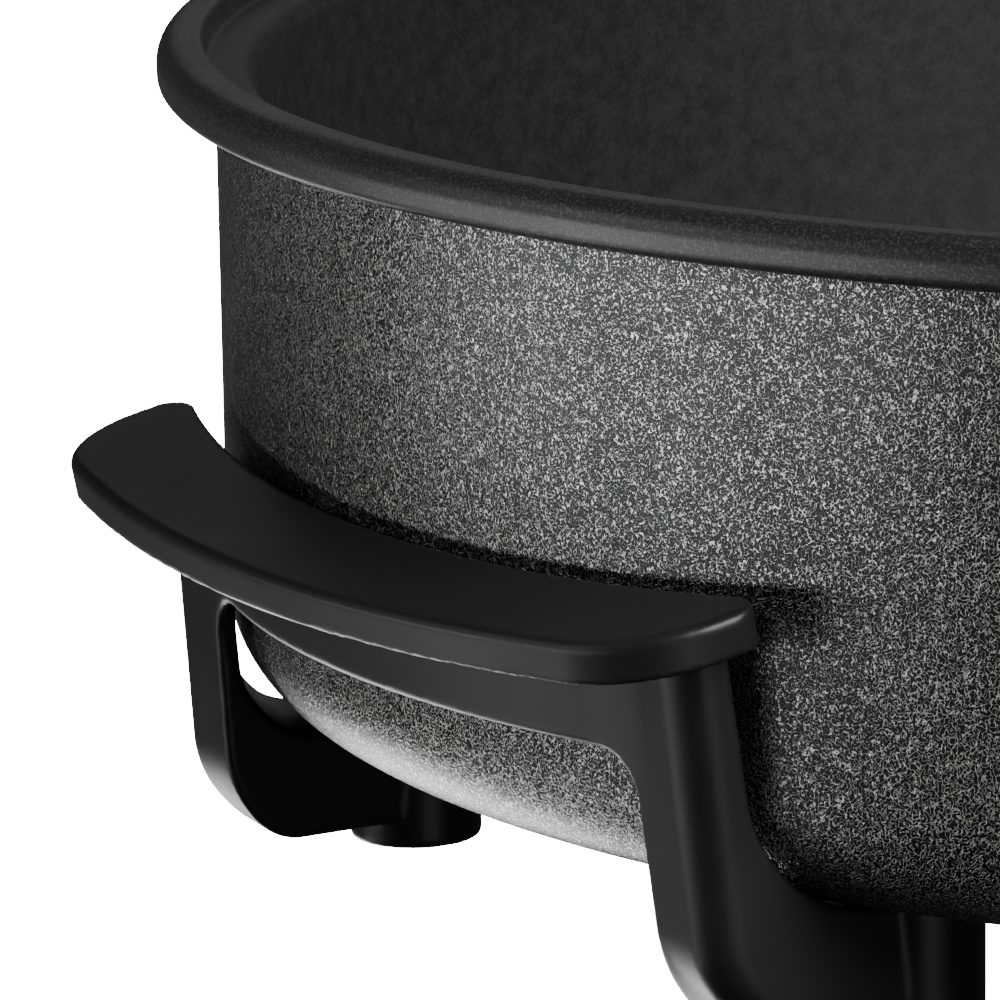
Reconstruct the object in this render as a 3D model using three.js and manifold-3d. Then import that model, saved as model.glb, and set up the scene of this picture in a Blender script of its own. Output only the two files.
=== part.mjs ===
// Electric pizza pan: a round die-cast pan on two handles with four J-shaped legs, and a plug-in control.
// Millimetres, +Z up. The pan stands on z = 0 about the Z axis, its handles lie on the X axis, and the
// control plugs in at the front, from -Y.
import * as THREE from 'three';
import { mergeVertices } from 'three/addons/utils/BufferGeometryUtils.js';
import Module from 'manifold-3d';

// Pan
const rimInnerStep = 1.6;
const rimOverhang = 7.9;
const rimHeight = 6.5;
const rimRoll = 3.5;
const rimLipRound = 1.5;
const rimEdge = 0.9;
const wallOuterRadius = 178.4;
const wallThickness = 5.4;
const panHeight = 90;
const standHeight = 20.3;
const floorThickness = 5;
const outerFillet = 15.2;
const innerFillet = 10.5;
const ledgeDepth = 3.6;
const ledgeGroove = 1.4;
const ledgeRound = 2.4;

// Heating element in its cast ring under the floor
const elementRadius = 4;
const elementRingInset = 78.4;
const elementDrop = 5;
const ringBossWidth = 19;
const ringBossHeight = 9.8;
const leadSpacing = 26;
const leadEndInset = 12.4;
const leadStraight = 40;
const leadBend = 15;
const ringOpeningHalf = 32;
const sealRadius = 4.6;
const sealLength = 5.4;
const pinRadius = 2.4;
const pinLength = 33.7;

// Bottom cover and its screws
const coverMargin = 15.5;
const coverThickness = 1;
const coverRimHeight = 4.5;
const coverNotchHalf = 21;
const coverBossInset = 40;
const coverBossRadius = 6;
const coverBossCount = 3;

// Handle: a curved apron between two flat-faced legs, and the grip plate on it
const apronClearance = 2.1;
const apronThickness = 3;
const apronRadius = 161;
const legSetback = 8.7;
const legCorner = 5.5;
const frameHalfWidth = 70.2;
const frameLean = Math.atan(0.09);
const frameLeanHeight = 38;
const windowHalfWidth = 54.3;
const windowFlare = 2.8;
const windowTop = 40;
const windowCorner = 6;
const armFlare = 1.2;
const armHeight = 15.2;
const armDrop = 1;
const legOuterBend = 13.5;
const legInnerBend = 9.8;
const plateClearance = 3.4;
const plateDepth = 17.75;
const plateInnerRadius = 197.7;
const plateOuterRadius = 251;
const plateHalfLength = 76.3;
const plateOuterCornerShare = 0.8;
const plateInnerCornerShare = 0.21;
const plateThickness = 5.45;
const plateTilt = Math.atan(0.2);
const plateTiltX = 185;
const plateTopHeight = 59.6;
const plateEdge = 1.3;
const dowelRadius = 1.1;
const dowelLength = 6;
const dowelSpots = [60, 66];

// Feet
const footXInset = 38.5;
const footY = 63.6;
const footRadius = 9.15;
const footEdge = 1.6;
const padRadius = 6.4;
const padProud = 0.8;
const padDepth = 2;
const bossRadius = 4.7;
const bossDrop = 6.3;
const footWeb = 4.6;
const counterboreRadius = 5.4;
const footScrewRadius = 2.5;
const footScrewHead = 4.2;
const footScrewHeadHeight = 2.8;
const footWasherRadius = 5;
const footWasherHeight = 1;
const screwEngagement = 8.5;

// Inlet shroud and its screws
const inletHalfWidth = 30;
const inletHeight = 24;
const inletBackInset = 6.4;
const inletFrontReach = 27.6;
const inletBackWall = 3;
const socketHalfWidth = 24.6;
const socketHeight = 16.8;
const earSpan = 34;
const earInner = 24;
const earThickness = 3.5;
const earReach = 21;
const earDrop = 3.3;
const earScrewX = 29;
const earScrewYInset = 22.4;
const smallScrewRadius = 2;
const smallScrewHead = 3.4;
const smallScrewHeadHeight = 2;
const smallScrewLength = 8;
const smallBossRadius = 4.6;
const earthThickness = 1;
const earthBladeHeight = 7.4;
const earthBladeX = 21.3;
const earthBladeEndReach = 17.6;
const earthTabLength = 10;

// Plug-in control
const controlBackReach = 30.2;
const controlRadius = 34;
const controlCentreYReach = 83.6;
const controlBottom = 4;
const controlSplit = 21;
const controlTop = 41;
const controlWall = 2.6;
const controlEdge = 3;
const controlCorner = 7;
const noseHalfWidth = 21;
const noseHeight = 11;
const noseFrontInset = 2.2;
const probeRadius = 3.1;
const probeTipInset = 54.4;
const probeBackEndReach = 34.6;
const probeBossHalfWidth = 7;
const probeBossInnerInset = 66.4;
const clipOuterRadius = 3.5;
const clipInnerRadius = 2.7;
const clipLength = 20;
const clipFrontReach = 0.6;
const controlScrewRadius = 1.5;
const controlScrewHead = 2.9;
const controlScrewHeadHeight = 2.2;
const controlScrewLength = 24;
const controlBossRadius = 4;
const controlScrewReaches = [[26, 38.6], [17, 102.6]];
const dialRadius = 25;
const dialSkirtHeight = 3;
const dialGripRadius = 17.5;
const dialHeight = 16;
const dialFlutes = 12;
const dialFluteRadius = 2.2;
const shaftRadius = 3;
const camRadius = 7;
const camHeight = 3;
const camBottom = 20.2;
const lampYReach = 43.6;
const lampRadius = 4;
const lampProud = 1.2;
const lampFlange = 1;
const lampFlangeReach = 1.2;
const lampBodyRadius = 2.5;
const lampBodyLength = 11.5;
const switchSheet = 1.2;
const switchFrameHalfWidth = 12;
const switchFrameFrontReach = 35.6;
const switchFrameBackReach = 92.6;
const switchShelfHeight = 26;
const stackHalfWidth = 5.5;
const stackLength = 10;
const stackFrontReach = 41.6;
const stackHeight = 7;
const stripHalfWidth = 3.5;
const stripEndReach = 85.6;
const bimetalThickness = 0.9;
const contactArmThickness = 0.6;
const stackSpacerHeight = 1.7;
const rivetRadius = 1.6;
const rivetHeight = 1.2;
const rivetYReach = 79.6;
const terminalHalfWidth = 11.5;
const terminalLength = 12;
const terminalHeight = 9.5;
const terminalClearance = 4.5;
const glandRadius = 5;
const glandHole = 5.3;
const glandFlange = 7;
const glandBore = 3.4;
const glandLength = 20;
const glandTipRadius = 4.8;
const glandFlangeLength = 1.8;
const glandPlay = 1.2;

// Clearances
const gap = 0.3;
const grooveClearance = 0.8;
const overrun = 40;

// Facets
const roundSegments = 64;
const ringSegments = 48;
const arcSegments = 96;
const wideSegments = 24;
const smallSegments = 12;
const tubeSides = 8;
const longSteps = 12;
const filletSteps = 5;
const edgeSteps = 3;

// What stands at a set distance from the pan's wall.
const elementRingRadius = wallOuterRadius - elementRingInset;
const coverBossCircle = elementRingRadius - coverBossInset;
const rimInnerRadius = wallOuterRadius + rimInnerStep;
const rimOuterRadius = wallOuterRadius + rimOverhang;
const wallInnerRadius = wallOuterRadius - wallThickness;
const leadEnd = wallOuterRadius - leadEndInset;
const inletBack = wallOuterRadius - inletBackInset;
const inletFront = wallOuterRadius + inletFrontReach;
const earScrewY = wallOuterRadius - earScrewYInset;
const earthBladeEnd = wallOuterRadius + earthBladeEndReach;
const controlBack = wallOuterRadius + controlBackReach;
const controlCentreY = wallOuterRadius + controlCentreYReach;
const noseFront = wallOuterRadius - noseFrontInset;
const probeTip = wallOuterRadius - probeTipInset;
const probeBackEnd = wallOuterRadius + probeBackEndReach;
const probeBossInner = wallOuterRadius - probeBossInnerInset;
const clipFront = wallOuterRadius + clipFrontReach;
const lampY = wallOuterRadius + lampYReach;
const switchFrameFront = wallOuterRadius + switchFrameFrontReach;
const switchFrameBack = wallOuterRadius + switchFrameBackReach;
const stackFront = wallOuterRadius + stackFrontReach;
const stripEnd = wallOuterRadius + stripEndReach;
const rivetY = wallOuterRadius + rivetYReach;
const terminalFront = switchFrameBack + terminalClearance;
const footX = wallOuterRadius - footXInset;
const controlScrewSpots = controlScrewReaches.map(([x, reach]) => [x, wallOuterRadius + reach]);

// Levels that follow from the sizes above
const rimTop = standHeight + panHeight;
const elementZ = standHeight - elementDrop;
const ringBossBottom = standHeight - ringBossHeight;
const coverTop = ringBossBottom - gap;
const coverBottom = coverTop - coverThickness;
const coverRadius = elementRingRadius + ringBossWidth / 2 + coverMargin;
const armTop = standHeight - armDrop;
const postTop = standHeight - gap;
const armBottom = armTop - armHeight;
const apronBack = wallOuterRadius + apronClearance;
const apronReach = apronBack + apronThickness;
const apronCentre = apronReach - apronRadius;
const legFace = apronReach - legSetback;
const plateInnerCentre = wallOuterRadius + plateClearance - plateInnerRadius;
const plateOuterCentre = wallOuterRadius + plateClearance + plateDepth - plateOuterRadius;

// The plate's corners are shares of its depth at the ends.
const plateEndX = (centre, radius) => centre + Math.sqrt(radius ** 2 - plateHalfLength ** 2);
const plateOuterEnd = plateEndX(plateOuterCentre, plateOuterRadius);
const plateEndDepth = plateOuterEnd - plateEndX(plateInnerCentre, plateInnerRadius);
const plateOuterCorner = plateOuterCornerShare * plateEndDepth;
const plateInnerCorner = plateInnerCornerShare * plateEndDepth;

const wasm = await Module();
wasm.setup();

// A closed geometry becomes a solid once its shared corners are merged and its empty faces are left out.
function solidFrom(geometry) {
  const bare = geometry.clone();
  bare.deleteAttribute('normal');
  bare.deleteAttribute('uv');
  const merged = mergeVertices(bare);
  const corners = merged.index.array;
  const kept = [];
  for (let i = 0; i < corners.length; i += 3) {
    const [a, b, c] = [corners[i], corners[i + 1], corners[i + 2]];
    if (a !== b && b !== c && c !== a) kept.push(a, b, c);
  }
  const vertProperties = merged.attributes.position.array;
  return new wasm.Manifold(new wasm.Mesh({ numProp: 3, vertProperties, triVerts: new Uint32Array(kept) }));
}

function geometryFrom(solid) {
  const { vertProperties, triVerts } = solid.getMesh();
  const geometry = new THREE.BufferGeometry();
  geometry.setAttribute('position', new THREE.BufferAttribute(vertProperties, 3));
  geometry.setIndex(new THREE.BufferAttribute(triVerts, 1));
  geometry.computeVertexNormals();
  return geometry;
}

const joined = (solids) => solids.reduce((whole, next) => whole.add(next));
const turned = (solid, degrees) => solid.rotate([0, 0, degrees]);

// A block between two corners.
function block(low, high) {
  const size = high.map((value, axis) => value - low[axis]);
  const geometry = new THREE.BoxGeometry(...size);
  geometry.translate(...low.map((value, axis) => value + size[axis] / 2));
  return solidFrom(geometry);
}

// An upright cylinder between two heights.
function post(x, y, radius, low, high, segments = smallSegments) {
  const geometry = new THREE.CylinderGeometry(radius, radius, high - low, segments);
  geometry.rotateX(Math.PI / 2);
  geometry.translate(x, y, (low + high) / 2);
  return solidFrom(geometry);
}

// A cylinder along Y between two distances in front of the axis.
function rod(x, z, radius, near, far, tipRadius = radius) {
  const geometry = new THREE.CylinderGeometry(radius, tipRadius, far - near, smallSegments);
  geometry.translate(x, -(near + far) / 2, z);
  return solidFrom(geometry);
}

// A turned shape about a vertical axis. The outline runs anticlockwise with the radius to the right and the
// height upwards, and closes on itself or on the axis.
function turnedSolid(outline, segments = roundSegments, x = 0, y = 0) {
  const geometry = new THREE.LatheGeometry(outline, segments);
  geometry.rotateX(Math.PI / 2);
  geometry.translate(x, y, 0);
  return solidFrom(geometry);
}

// A flat outline raised between two heights, with an optional bevel along its upper edge.
function raised(shape, low, high, bevel = 0) {
  const geometry = new THREE.ExtrudeGeometry(shape, {
    depth: high - low,
    bevelEnabled: bevel > 0,
    bevelSize: bevel,
    bevelThickness: bevel,
    bevelOffset: -bevel,
    bevelSegments: 2,
  });
  geometry.translate(0, 0, low - bevel);
  const solid = solidFrom(geometry);
  if (bevel === 0) return solid;
  const reach = rimOuterRadius * 2;
  return solid.subtract(block([-reach, -reach, low - overrun], [reach, reach, low]));
}

// The points of an arc, both ends included, as radius and height.
function arcPoints(x, y, radius, from, to, steps = filletSteps) {
  return Array.from({ length: steps + 1 }, (_, i) => {
    const angle = THREE.MathUtils.degToRad(from + ((to - from) * i) / steps);
    return new THREE.Vector2(x + radius * Math.cos(angle), y + radius * Math.sin(angle));
  });
}

const group = new THREE.Group();

function piece(name, solid, look) {
  const mesh = new THREE.Mesh(geometryFrom(solid), new THREE.MeshStandardMaterial(look));
  mesh.name = name;
  group.add(mesh);
}

// Like pieces are numbered from one.
function pieces(name, solids, look) {
  solids.forEach((solid, i) => piece(`${name}_${i + 1}`, solid, look));
}

const wrinkleBlack = { color: 0x3a3a3b, roughness: 0.55, metalness: 0.3 };
const mouldedBlack = { color: 0x1b1b1c, roughness: 0.6, metalness: 0 };
const bareSteel = { color: 0x9a9a98, roughness: 0.4, metalness: 1 };
const darkSteel = { color: 0x55544f, roughness: 0.45, metalness: 1 };
const brass = { color: 0xb59a55, roughness: 0.35, metalness: 1 };
const ceramic = { color: 0xe6e1d6, roughness: 0.6, metalness: 0 };
const rubberBlack = { color: 0x141414, roughness: 0.85, metalness: 0 };

// Pan: floor, filleted wall, rolled rim and lid ledge in one casting.
function panOutside(offset = 0) {
  const filletCentre = wallOuterRadius - outerFillet;
  return [
    new THREE.Vector2(0, standHeight - offset),
    ...arcPoints(filletCentre, standHeight + outerFillet, outerFillet + offset, -90, 0, filletSteps + 2),
  ];
}

function panBowl() {
  const rollCentre = rimOuterRadius - rimRoll;
  const filletCentre = wallInnerRadius - innerFillet;
  const floorTop = standHeight + floorThickness;
  const ledgeZ = rimTop - ledgeDepth;
  return turnedSolid([
    ...panOutside(),
    ...arcPoints(wallOuterRadius + rimEdge, rimTop - rimHeight - rimEdge, rimEdge, 180, 90, 1),
    new THREE.Vector2(rimOuterRadius - rimLipRound, rimTop - rimHeight),
    new THREE.Vector2(rimOuterRadius, rimTop - rimHeight + rimLipRound),
    ...arcPoints(rollCentre, rimTop - rimRoll, rimRoll, 0, 90, edgeSteps),
    ...arcPoints(rimInnerRadius + rimEdge, rimTop - rimEdge, rimEdge, 90, 180, 2),
    new THREE.Vector2(rimInnerRadius - ledgeGroove / 2, ledgeZ + ledgeGroove / 2),
    new THREE.Vector2(rimInnerRadius - ledgeGroove, ledgeZ),
    ...arcPoints(wallInnerRadius + ledgeRound, ledgeZ - ledgeRound, ledgeRound, 90, 180, 2),
    ...arcPoints(filletCentre, floorTop + innerFillet, innerFillet, 0, -90),
    new THREE.Vector2(0, floorTop),
  ]);
}

// Under the floor: the ring round the element, and bosses for the cover, the inlet, the probe and the feet.
const ringInner = elementRingRadius - ringBossWidth / 2;
const ringOuter = elementRingRadius + ringBossWidth / 2;
const grooveHalf = elementRadius + grooveClearance;
const rootDepth = floorThickness / 2;
const earTop = standHeight - earDrop;

function ring(inner, outer, low, high) {
  return turnedSolid([
    new THREE.Vector2(inner, low),
    new THREE.Vector2(outer, low),
    new THREE.Vector2(outer, high),
    new THREE.Vector2(inner, high),
    new THREE.Vector2(inner, low),
  ], ringSegments);
}

function aroundFeet(make) {
  const spots = [[footX, footY], [-footX, footY], [-footX, -footY], [footX, -footY]];
  return spots.map(([x, y]) => make(x, y));
}

function coverBosses(make) {
  return Array.from({ length: coverBossCount }, (_, i) => {
    const angle = Math.PI / 2 + (i * 2 * Math.PI) / coverBossCount;
    return make(coverBossCircle * Math.cos(angle), coverBossCircle * Math.sin(angle));
  });
}

const bossRoof = standHeight + rootDepth;
const probeBore = probeRadius + gap;
const footBossBottom = standHeight - bossDrop;
const panSolid = joined([
  panBowl(),
  ring(ringInner, ringOuter, ringBossBottom, bossRoof),
  block([-probeBossHalfWidth, -leadEnd, ringBossBottom], [probeBossHalfWidth, -probeBossInner, bossRoof]),
  ...coverBosses((x, y) => post(x, y, coverBossRadius, ringBossBottom, bossRoof)),
  ...aroundFeet((x, y) => post(x, y, bossRadius, footBossBottom, bossRoof)),
  ...[-1, 1].map((side) => post(side * earScrewX, -earScrewY, smallBossRadius, earTop + gap, bossRoof)),
]).subtract(joined([
  ring(elementRingRadius - grooveHalf, elementRingRadius + grooveHalf, 0, elementZ + grooveHalf),
  block(
    [-ringOpeningHalf, -ringOuter - gap, ringBossBottom - gap],
    [ringOpeningHalf, -ringInner + gap, elementZ + grooveHalf],
  ).subtract(block(
    [-probeBossHalfWidth, -ringOuter - overrun, 0],
    [probeBossHalfWidth, -probeBossInner, bossRoof],
  )),
  rod(0, elementZ, probeBore, probeTip - gap * 2, leadEnd + overrun),
  ...coverBosses((x, y) => post(x, y, smallScrewRadius + gap, 0, standHeight)),
  ...aroundFeet((x, y) => post(x, y, footScrewRadius + gap, 0, bossRoof)),
  ...[-1, 1].map((side) => post(side * earScrewX, -earScrewY, smallScrewRadius + gap, 0, bossRoof)),
]));
piece('pan_body', panSolid, wrinkleBlack);

// Element: one tube from lead to lead round the ring.
function elementPath() {
  const openAngle = Math.asin(ringOpeningHalf / elementRingRadius);
  const start = -Math.PI / 2 + openAngle;
  const sweep = 2 * Math.PI - 2 * openAngle;
  const at = (angle) => new THREE.Vector3(
    elementRingRadius * Math.cos(angle), elementRingRadius * Math.sin(angle), elementZ,
  );
  const along = new THREE.Vector3(-Math.sin(start), Math.cos(start), 0).multiplyScalar(leadBend);
  const mirrored = (p) => new THREE.Vector3(-p.x, p.y, p.z);
  const lead = new THREE.Vector3(leadSpacing / 2, -leadEnd, elementZ);
  const foot = new THREE.Vector3(leadSpacing / 2, -leadEnd + leadStraight, elementZ);
  const footAim = new THREE.Vector3(leadSpacing / 2, -leadEnd + leadStraight + leadBend, elementZ);
  const ringAim = at(start).sub(along);
  const points = [lead];
  const bend = new THREE.CubicBezierCurve3(foot, footAim, ringAim, at(start));
  points.push(...bend.getPoints(filletSteps));
  for (let i = 1; i < ringSegments; i += 1) points.push(at(start + (sweep * i) / ringSegments));
  const back = new THREE.CubicBezierCurve3(
    mirrored(at(start)), mirrored(ringAim), mirrored(footAim), mirrored(foot),
  );
  points.push(...back.getPoints(filletSteps), mirrored(lead));
  return points;
}

// A tube whose rings stand at the given points, each turned halfway between its two runs.
class PointPath extends THREE.Curve {
  constructor(points) {
    super();
    this.points = points;
  }

  getPoint(t) {
    return this.points[Math.round(t * (this.points.length - 1))].clone();
  }

  getPointAt(t) {
    return this.getPoint(t);
  }

  getTangentAt(t) {
    const i = Math.round(t * (this.points.length - 1));
    const last = this.points.length - 1;
    return this.points[Math.min(i + 1, last)].clone().sub(this.points[Math.max(i - 1, 0)]).normalize();
  }
}

function tube(points, radius, sides) {
  const section = new THREE.Shape(
    Array.from({ length: sides }, (_, i) => {
      const angle = (i * 2 * Math.PI) / sides;
      return new THREE.Vector2(radius * Math.cos(angle), radius * Math.sin(angle));
    }),
  );
  const extrudePath = new PointPath(points);
  return solidFrom(new THREE.ExtrudeGeometry(section, { steps: points.length - 1, extrudePath }));
}

piece('heating_element', tube(elementPath(), elementRadius, tubeSides), darkSteel);

const atLeads = (make) => [-1, 1].map((side) => make((side * leadSpacing) / 2));
const sealStart = leadEnd + gap;
pieces(
  'terminal_seal',
  atLeads((x) => rod(x, elementZ, sealRadius, sealStart, sealStart + sealLength)
    .subtract(rod(x, elementZ, pinRadius + gap, leadEnd, inletFront))),
  ceramic,
);
pieces('terminal_pin', atLeads((x) => rod(x, elementZ, pinRadius, sealStart, sealStart + pinLength)), brass);

// Bottom cover: a pressed plate with a turned-up rim, open where the leads and the probe come through.
const coverDish = joined([
  post(0, 0, coverRadius, coverBottom, coverTop, ringSegments),
  ring(coverRadius - coverThickness, coverRadius, coverBottom, coverTop + coverRimHeight),
]).subtract(joined([
  block([-coverNotchHalf, -coverRadius - overrun, coverTop], [coverNotchHalf, 0, coverTop + overrun]),
  ...coverBosses((x, y) => post(x, y, smallScrewRadius + gap, 0, standHeight)),
]));
piece('element_cover', coverDish, bareSteel);

// A pan-head screw that points up, with its head under the given height.
function screw(x, y, radius, headRadius, headHeight, seat, tip) {
  return joined([
    post(x, y, headRadius, seat - headHeight, seat),
    post(x, y, radius, seat - headHeight / 2, tip),
  ]);
}

const coverScrewSeat = coverBottom - gap;
pieces(
  'cover_screw',
  coverBosses((x, y) => screw(
    x, y, smallScrewRadius, smallScrewHead, smallScrewHeadHeight, coverScrewSeat,
    coverScrewSeat + smallScrewLength,
  )),
  bareSteel,
);

// Inlet shroud: a socket round the pins, with two ears screwed to the pan.
function roundedRectangle(halfWidth, low, high, corner) {
  const across = halfWidth - corner;
  return new THREE.Shape([
    ...arcPoints(across, low + corner, corner, -90, 0, edgeSteps),
    ...arcPoints(across, high - corner, corner, 0, 90, edgeSteps),
    ...arcPoints(-across, high - corner, corner, 90, 180, edgeSteps),
    ...arcPoints(-across, low + corner, corner, 180, 270, edgeSteps),
  ]);
}

// An outline in X and Z carried along Y from a near to a far distance in front of the axis.
function frontPrism(shape, near, far) {
  const geometry = new THREE.ExtrudeGeometry(shape, { depth: far - near, bevelEnabled: false });
  geometry.rotateX(Math.PI / 2);
  geometry.translate(0, -near, 0);
  return solidFrom(geometry);
}

// An outline in Y and Z carried along X.
function sidePrism(shape, from, to) {
  const geometry = new THREE.ExtrudeGeometry(shape, { depth: to - from, bevelEnabled: false });
  geometry.rotateX(Math.PI / 2);
  geometry.rotateZ(Math.PI / 2);
  geometry.translate(from, 0, 0);
  return solidFrom(geometry);
}

const socketCorner = 3;
const inletCorner = 6;
const panClearance = turnedSolid([
  ...panOutside(gap),
  new THREE.Vector2(wallOuterRadius + gap, rimTop),
  new THREE.Vector2(0, rimTop),
]);
const socketLow = elementZ - socketHeight / 2;
const socketHigh = elementZ + socketHeight / 2;
const slotHalf = earthThickness / 2 + gap * 2;
const bladeMiddle = -earthBladeX - earthThickness / 2;
const bladeLow = earTop - earThickness - gap - earthThickness;
const bladeHigh = bladeLow + earthBladeHeight;
const inletSolid = joined([
  frontPrism(
    roundedRectangle(inletHalfWidth, elementZ - inletHeight / 2, elementZ + inletHeight / 2, inletCorner),
    inletBack, inletFront,
  ),
  ...[-1, 1].map((side) => {
    const [near, far] = [side * earInner, side * earSpan].sort((a, b) => a - b);
    const ear = block(
      [near, -inletBack - inletBackWall, earTop - earThickness],
      [far, -inletBack + earReach, earTop],
    );
    return ear.subtract(post(side * earScrewX, -earScrewY, smallScrewRadius + gap, 0, standHeight));
  }),
]).subtract(joined([
  frontPrism(
    roundedRectangle(socketHalfWidth, socketLow, socketHigh, socketCorner),
    inletBack + inletBackWall, inletFront + overrun,
  ),
  ...atLeads((x) => rod(x, elementZ, pinRadius + gap, leadEnd, inletFront)),
  rod(0, elementZ, probeBore, leadEnd, inletFront),
  block(
    [bladeMiddle - slotHalf, -inletFront, bladeLow - gap],
    [bladeMiddle + slotHalf, -leadEnd, bladeHigh + gap],
  ),
  panClearance,
]));
piece('inlet_housing', inletSolid, mouldedBlack);

const tabFront = earScrewY - earthTabLength / 2;
const tabBack = earScrewY + earthTabLength / 2;
const tabLow = bladeLow;
const tabHigh = bladeLow + earthThickness;
piece(
  'earth_contact',
  joined([
    block([-earSpan, -tabBack, tabLow], [-earthBladeX, -tabFront, tabHigh]),
    block([-earthBladeX - earthThickness, -earthBladeEnd, bladeLow], [-earthBladeX, -tabFront, bladeHigh]),
  ]).subtract(post(-earScrewX, -earScrewY, smallScrewRadius + gap, 0, standHeight)),
  brass,
);

pieces(
  'inlet_screw',
  [-1, 1].map((side) => {
    const seat = side < 0 ? tabLow - gap : earTop - earThickness - gap;
    return screw(
      side * earScrewX, -earScrewY, smallScrewRadius, smallScrewHead, smallScrewHeadHeight, seat,
      seat + smallScrewLength,
    );
  }),
  bareSteel,
);

// Grip plate, drawn flat and then tilted down outwards: two arcs, square ends and four round corners.
function plateShape() {
  const half = plateHalfLength;
  const outerX = plateOuterCentre + Math.sqrt(
    (plateOuterRadius - plateOuterCorner) ** 2 - (half - plateOuterCorner) ** 2,
  );
  const innerX = plateInnerCentre + Math.sqrt(
    (plateInnerRadius + plateInnerCorner) ** 2 - (half - plateInnerCorner) ** 2,
  );
  const degrees = THREE.MathUtils.radToDeg;
  const outer = degrees(Math.atan2(half - plateOuterCorner, outerX - plateOuterCentre));
  const inner = degrees(Math.atan2(half - plateInnerCorner, innerX - plateInnerCentre));
  const outerY = half - plateOuterCorner;
  const innerY = half - plateInnerCorner;
  return new THREE.Shape([
    ...arcPoints(plateOuterCentre, 0, plateOuterRadius, -outer, outer, longSteps),
    ...arcPoints(outerX, outerY, plateOuterCorner, outer, 90, filletSteps).slice(1),
    ...arcPoints(innerX, innerY, plateInnerCorner, 90, 180 + inner, filletSteps),
    ...arcPoints(plateInnerCentre, 0, plateInnerRadius, inner, -inner, longSteps).slice(1, -1),
    ...arcPoints(innerX, -innerY, plateInnerCorner, 180 - inner, 270, filletSteps),
    ...arcPoints(outerX, -outerY, plateOuterCorner, -90, -outer, filletSteps).slice(0, -1),
  ]);
}

// Tips a solid outwards about a line along Y, which it was drawn to meet at zero height.
function tipped(solid, angle, x, height) {
  return solid.translate([-x, 0, 0])
    .rotate([0, THREE.MathUtils.radToDeg(angle), 0])
    .translate([x, 0, height]);
}

const tilted = (solid) => tipped(solid, plateTilt, plateTiltX, plateTopHeight);

// Where the plate's dowels go: into the middle of the legs' walls, halfway down their own length.
const dowelDepth = plateThickness + dowelLength / 2;
function dowelX(y) {
  const lean = Math.tan(frameLean) * (plateTopHeight - dowelDepth - frameLeanHeight);
  const wallMiddle = (legFace + Math.sqrt(apronBack ** 2 - y ** 2)) / 2 + lean;
  const middle = wallMiddle + dowelDepth * Math.sin(plateTilt);
  return plateTiltX + (middle - plateTiltX) / Math.cos(plateTilt);
}

function dowels(radius, length) {
  const solids = [];
  for (const spot of dowelSpots) {
    for (const side of [-1, 1]) {
      solids.push(post(dowelX(spot), side * spot, radius, -plateThickness - length, -plateThickness / 2));
    }
  }
  return solids;
}

const plateSolid = tilted(joined([
  raised(plateShape(), -plateThickness, 0, plateEdge),
  ...dowels(dowelRadius, dowelLength),
]));

// Leg frame from above: the curved apron between the flat faces of the legs, whose outer corners are round.
function frameOutline() {
  const meeting = THREE.MathUtils.radToDeg(Math.acos((legFace - apronCentre) / apronRadius));
  const cornerX = legFace - legCorner;
  const cornerY = frameHalfWidth - legCorner;
  return new THREE.Shape([
    new THREE.Vector2(footX, -frameHalfWidth - armFlare),
    ...arcPoints(cornerX, -cornerY, legCorner, -90, 0),
    ...arcPoints(apronCentre, 0, apronRadius, -meeting, meeting, longSteps),
    ...arcPoints(cornerX, cornerY, legCorner, 0, 90),
    new THREE.Vector2(footX, frameHalfWidth + armFlare),
  ]);
}

// Leg frame from the side: the underside of the arms and the bend into the leaning legs.
function frameProfile() {
  const bendZ = armBottom + legOuterBend;
  const faceX = legFace - Math.tan(frameLean) * (frameLeanHeight - bendZ);
  const bendX = faceX - legOuterBend / Math.cos(frameLean);
  return new THREE.Shape([
    new THREE.Vector2(0, armBottom),
    ...arcPoints(bendX, bendZ, legOuterBend, -90, -THREE.MathUtils.radToDeg(frameLean)),
    new THREE.Vector2(rimOuterRadius * 2, rimTop),
    new THREE.Vector2(0, rimTop),
  ]);
}

// The room behind the frame, over the arms: a round well that widens upwards, with a filleted floor.
function frameWell() {
  const bendZ = armTop + legInnerBend;
  const radiusAt = (height) => apronBack + Math.tan(frameLean) * (height - frameLeanHeight);
  return turnedSolid([
    new THREE.Vector2(0, armTop),
    ...arcPoints(radiusAt(bendZ) - legInnerBend, bendZ, legInnerBend, -90, 0),
    new THREE.Vector2(radiusAt(rimTop), rimTop),
    new THREE.Vector2(0, rimTop),
  ], arcSegments);
}

// The window between the legs, open at the bottom, as an outline in Y and Z.
function windowPrism() {
  const cornerY = windowHalfWidth - windowCorner;
  const cornerZ = windowTop - windowCorner;
  const shape = new THREE.Shape([
    new THREE.Vector2(-windowHalfWidth - windowFlare, 0),
    new THREE.Vector2(windowHalfWidth + windowFlare, 0),
    ...arcPoints(cornerY, cornerZ, windowCorner, 0, 90),
    ...arcPoints(-cornerY, cornerZ, windowCorner, 90, 180),
  ]);
  return sidePrism(shape, overrun, rimOuterRadius * 2);
}

// The round post over a foot, with the socket for the pan's boss, the screw's seat and the pad's recess.
const footWebTop = footBossBottom - gap;
const footSeat = footWebTop - footWeb;
const postBottom = padProud;
function footPost(y) {
  const outline = [
    new THREE.Vector2(0, postBottom),
    ...arcPoints(footRadius - footEdge, postBottom + footEdge, footEdge, -90, 0, edgeSteps),
    new THREE.Vector2(footRadius, postTop),
    new THREE.Vector2(0, postTop),
  ];
  return turnedSolid(outline, wideSegments, footX, y);
}

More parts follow.
